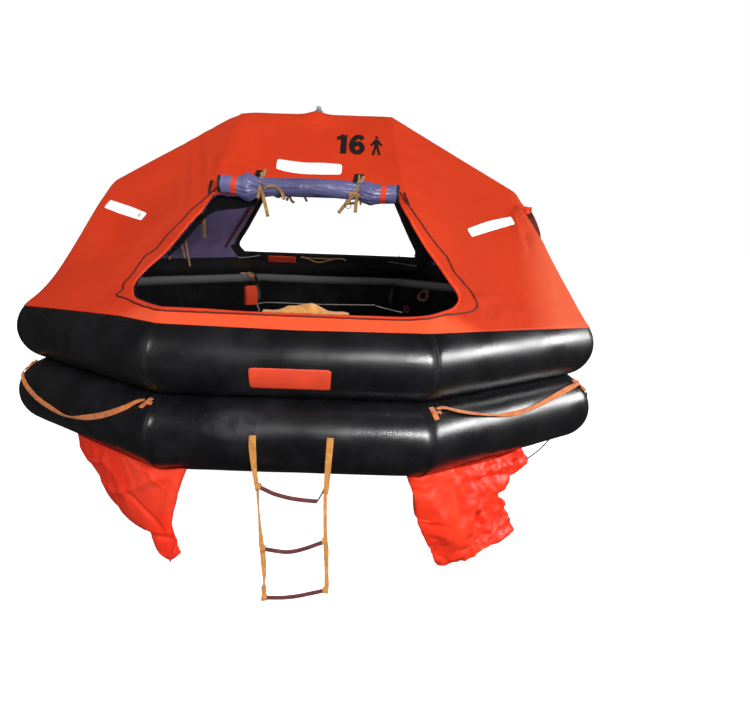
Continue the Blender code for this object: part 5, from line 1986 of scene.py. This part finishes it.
def finish_pocket(number, mesh, k, way, crumpled, seed):
    """The settled bag with its creases, hem, dark edge and cord."""
    mesh.materials.clear()
    crease_bag(mesh, k, way, crumpled, seed)
    first = BAG_ROWS * BAG_AROUND
    bottom = [v.co.copy() for v in mesh.vertices[first:first + BAG_COLUMNS + 1]]
    outer = [mesh.vertices[i * BAG_AROUND].co.copy() for i in range(BAG_ROWS + 1)]
    bag = piece("water_pocket_%d" % number, mesh, POCKET_RED, replaces=("ballast_pocket_%d" % number,))
    out, along = bag_axes(k, way)
    ribbon("pocket_hem_%d" % number, bottom, UPWARD, 0.018, 0.006, POCKET_RED)
    ribbon("pocket_edge_%d" % number, outer[:10], out * 0.4 - along, 0.020, 0.004, SEAM_BLACK)
    if crumpled:
        pocket_cord(number, min(outer, key=lambda p: p.dot(along)), out, along)


def make_pockets():
    bags = []
    frames = CLOTH_FRAMES
    for number, (k, way, sides, growth, dip, seed) in enumerate(POCKETS, 1):
        bags.append(bag_object(number, k, way, sides, dip, seed))
        add_cloth(bags[-1], growth, frames)
    for number, mesh in enumerate(settle(bags, frames), 1):
        k, way, sides, _, _, seed = POCKETS[number - 1]
        finish_pocket(number, mesh, k, way, sides is CRUMPLED_BAG, seed)


make_pockets()


def finish_nodes():
    """Gives the CAD nodes that keep their shape their materials."""
    finishes = {
        "arch_tube": TUBE_BLACK, "floor": FLOOR_BLACK,
        "gas_cylinder": BOTTLE, "cylinder_head": BRASS, "cylinder_strap_left": WEB_ORANGE,
        "cylinder_strap_right": WEB_ORANGE, "righting_strap": WEB_ORANGE, "painter_patch": SEAM_BLACK,
        "inside_pouch": PLATE_RED,
    }
    for name, surface in finishes.items():
        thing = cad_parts[name]
        thing.data.materials.clear()
        thing.data.materials.append(surface)


finish_nodes()


FLOOR_Z, FLOOR_HALF = -1.075, 60.0
SOFT_ABOVE, SOFT_BELOW, MIRRORED_LIGHT = 0.57, 0.30, 0.03


def make_stage():
    """A plain white floor that gives the raft no light and takes no shadow, as in a cut-out photograph."""
    corners = [(x * FLOOR_HALF, y * FLOOR_HALF, FLOOR_Z) for x, y in ((-1, -1), (1, -1), (1, 1), (-1, 1))]
    mesh = bpy.data.meshes.new("stage_floor")
    mesh.from_pydata(corners, [], [(0, 1, 2, 3)])
    made, _, shader = new_material("stage_paper", 0.9, specular=0.1)
    shader.inputs["Base Color"].default_value = (0.85, 0.85, 0.85, 1.0)
    glow(made, (1.0, 1.0, 1.0), 1.0)
    mesh.materials.append(made)
    floor = bpy.data.objects.new("stage_floor", mesh)
    floor.visible_diffuse = False
    floor.visible_glossy = False
    bpy.context.scene.collection.objects.link(floor)


def make_world():
    """A white backdrop; its soft light comes from above, and glossy rubber mirrors only little of it."""
    world = bpy.data.worlds.new("studio")
    bpy.context.scene.world = world
    world.use_nodes = True
    tree = world.node_tree
    shown = tree.nodes["Background"]
    shown.inputs["Color"].default_value = WHITE
    height = split_axes(tree, node(tree, "ShaderNodeTexCoord").outputs["Generated"])["Z"]
    tree.links.new(span(tree, height, -0.35, 0.25, SOFT_BELOW, SOFT_ABOVE), shown.inputs["Strength"])
    path = node(tree, "ShaderNodeLightPath").outputs
    for strength, kind in ((MIRRORED_LIGHT, "Is Glossy Ray"), (1.0, "Is Camera Ray")):
        other = node(tree, "ShaderNodeBackground", (("Strength", strength), ("Color", WHITE)))
        links = [("Fac", path[kind]), (1, shown.outputs[0]), (2, other.outputs[0])]
        shown = node(tree, "ShaderNodeMixShader", links=links)
    tree.links.new(shown.outputs[0], tree.nodes["World Output"].inputs["Surface"])
    bpy.context.scene.view_settings.view_transform = "Standard"


def make_light(name, place, target, size, power):
    """A soft box that looks at a target."""
    lamp = bpy.data.lights.new(name, "AREA")
    lamp.shape = "RECTANGLE"
    lamp.size, lamp.size_y = size
    lamp.energy = power
    made = bpy.data.objects.new(name, lamp)
    made.location = place
    made.rotation_euler = (Vector(target) - Vector(place)).to_track_quat("-Z", "Y").to_euler()
    made.visible_camera = False
    bpy.context.scene.collection.objects.link(made)


make_stage()
make_world()
make_light("light_right", (6.6, -0.7, 1.4), (0.9, -0.9, 0.1), (3.8, 1.2), 265.0)
make_light("light_front", (2.2, -7.4, 2.2), (0.3, -0.8, 0.3), (1.5, 0.8), 380.0)
make_light("light_left", (-5.5, -6.0, 3.6), (-0.6, -0.8, 0.4), (2.6, 1.6), 140.0)
make_light("light_cabin", (0.10, -0.20, 1.15), (-0.7, 1.0, 0.6), (0.50, 0.30), 7.0)
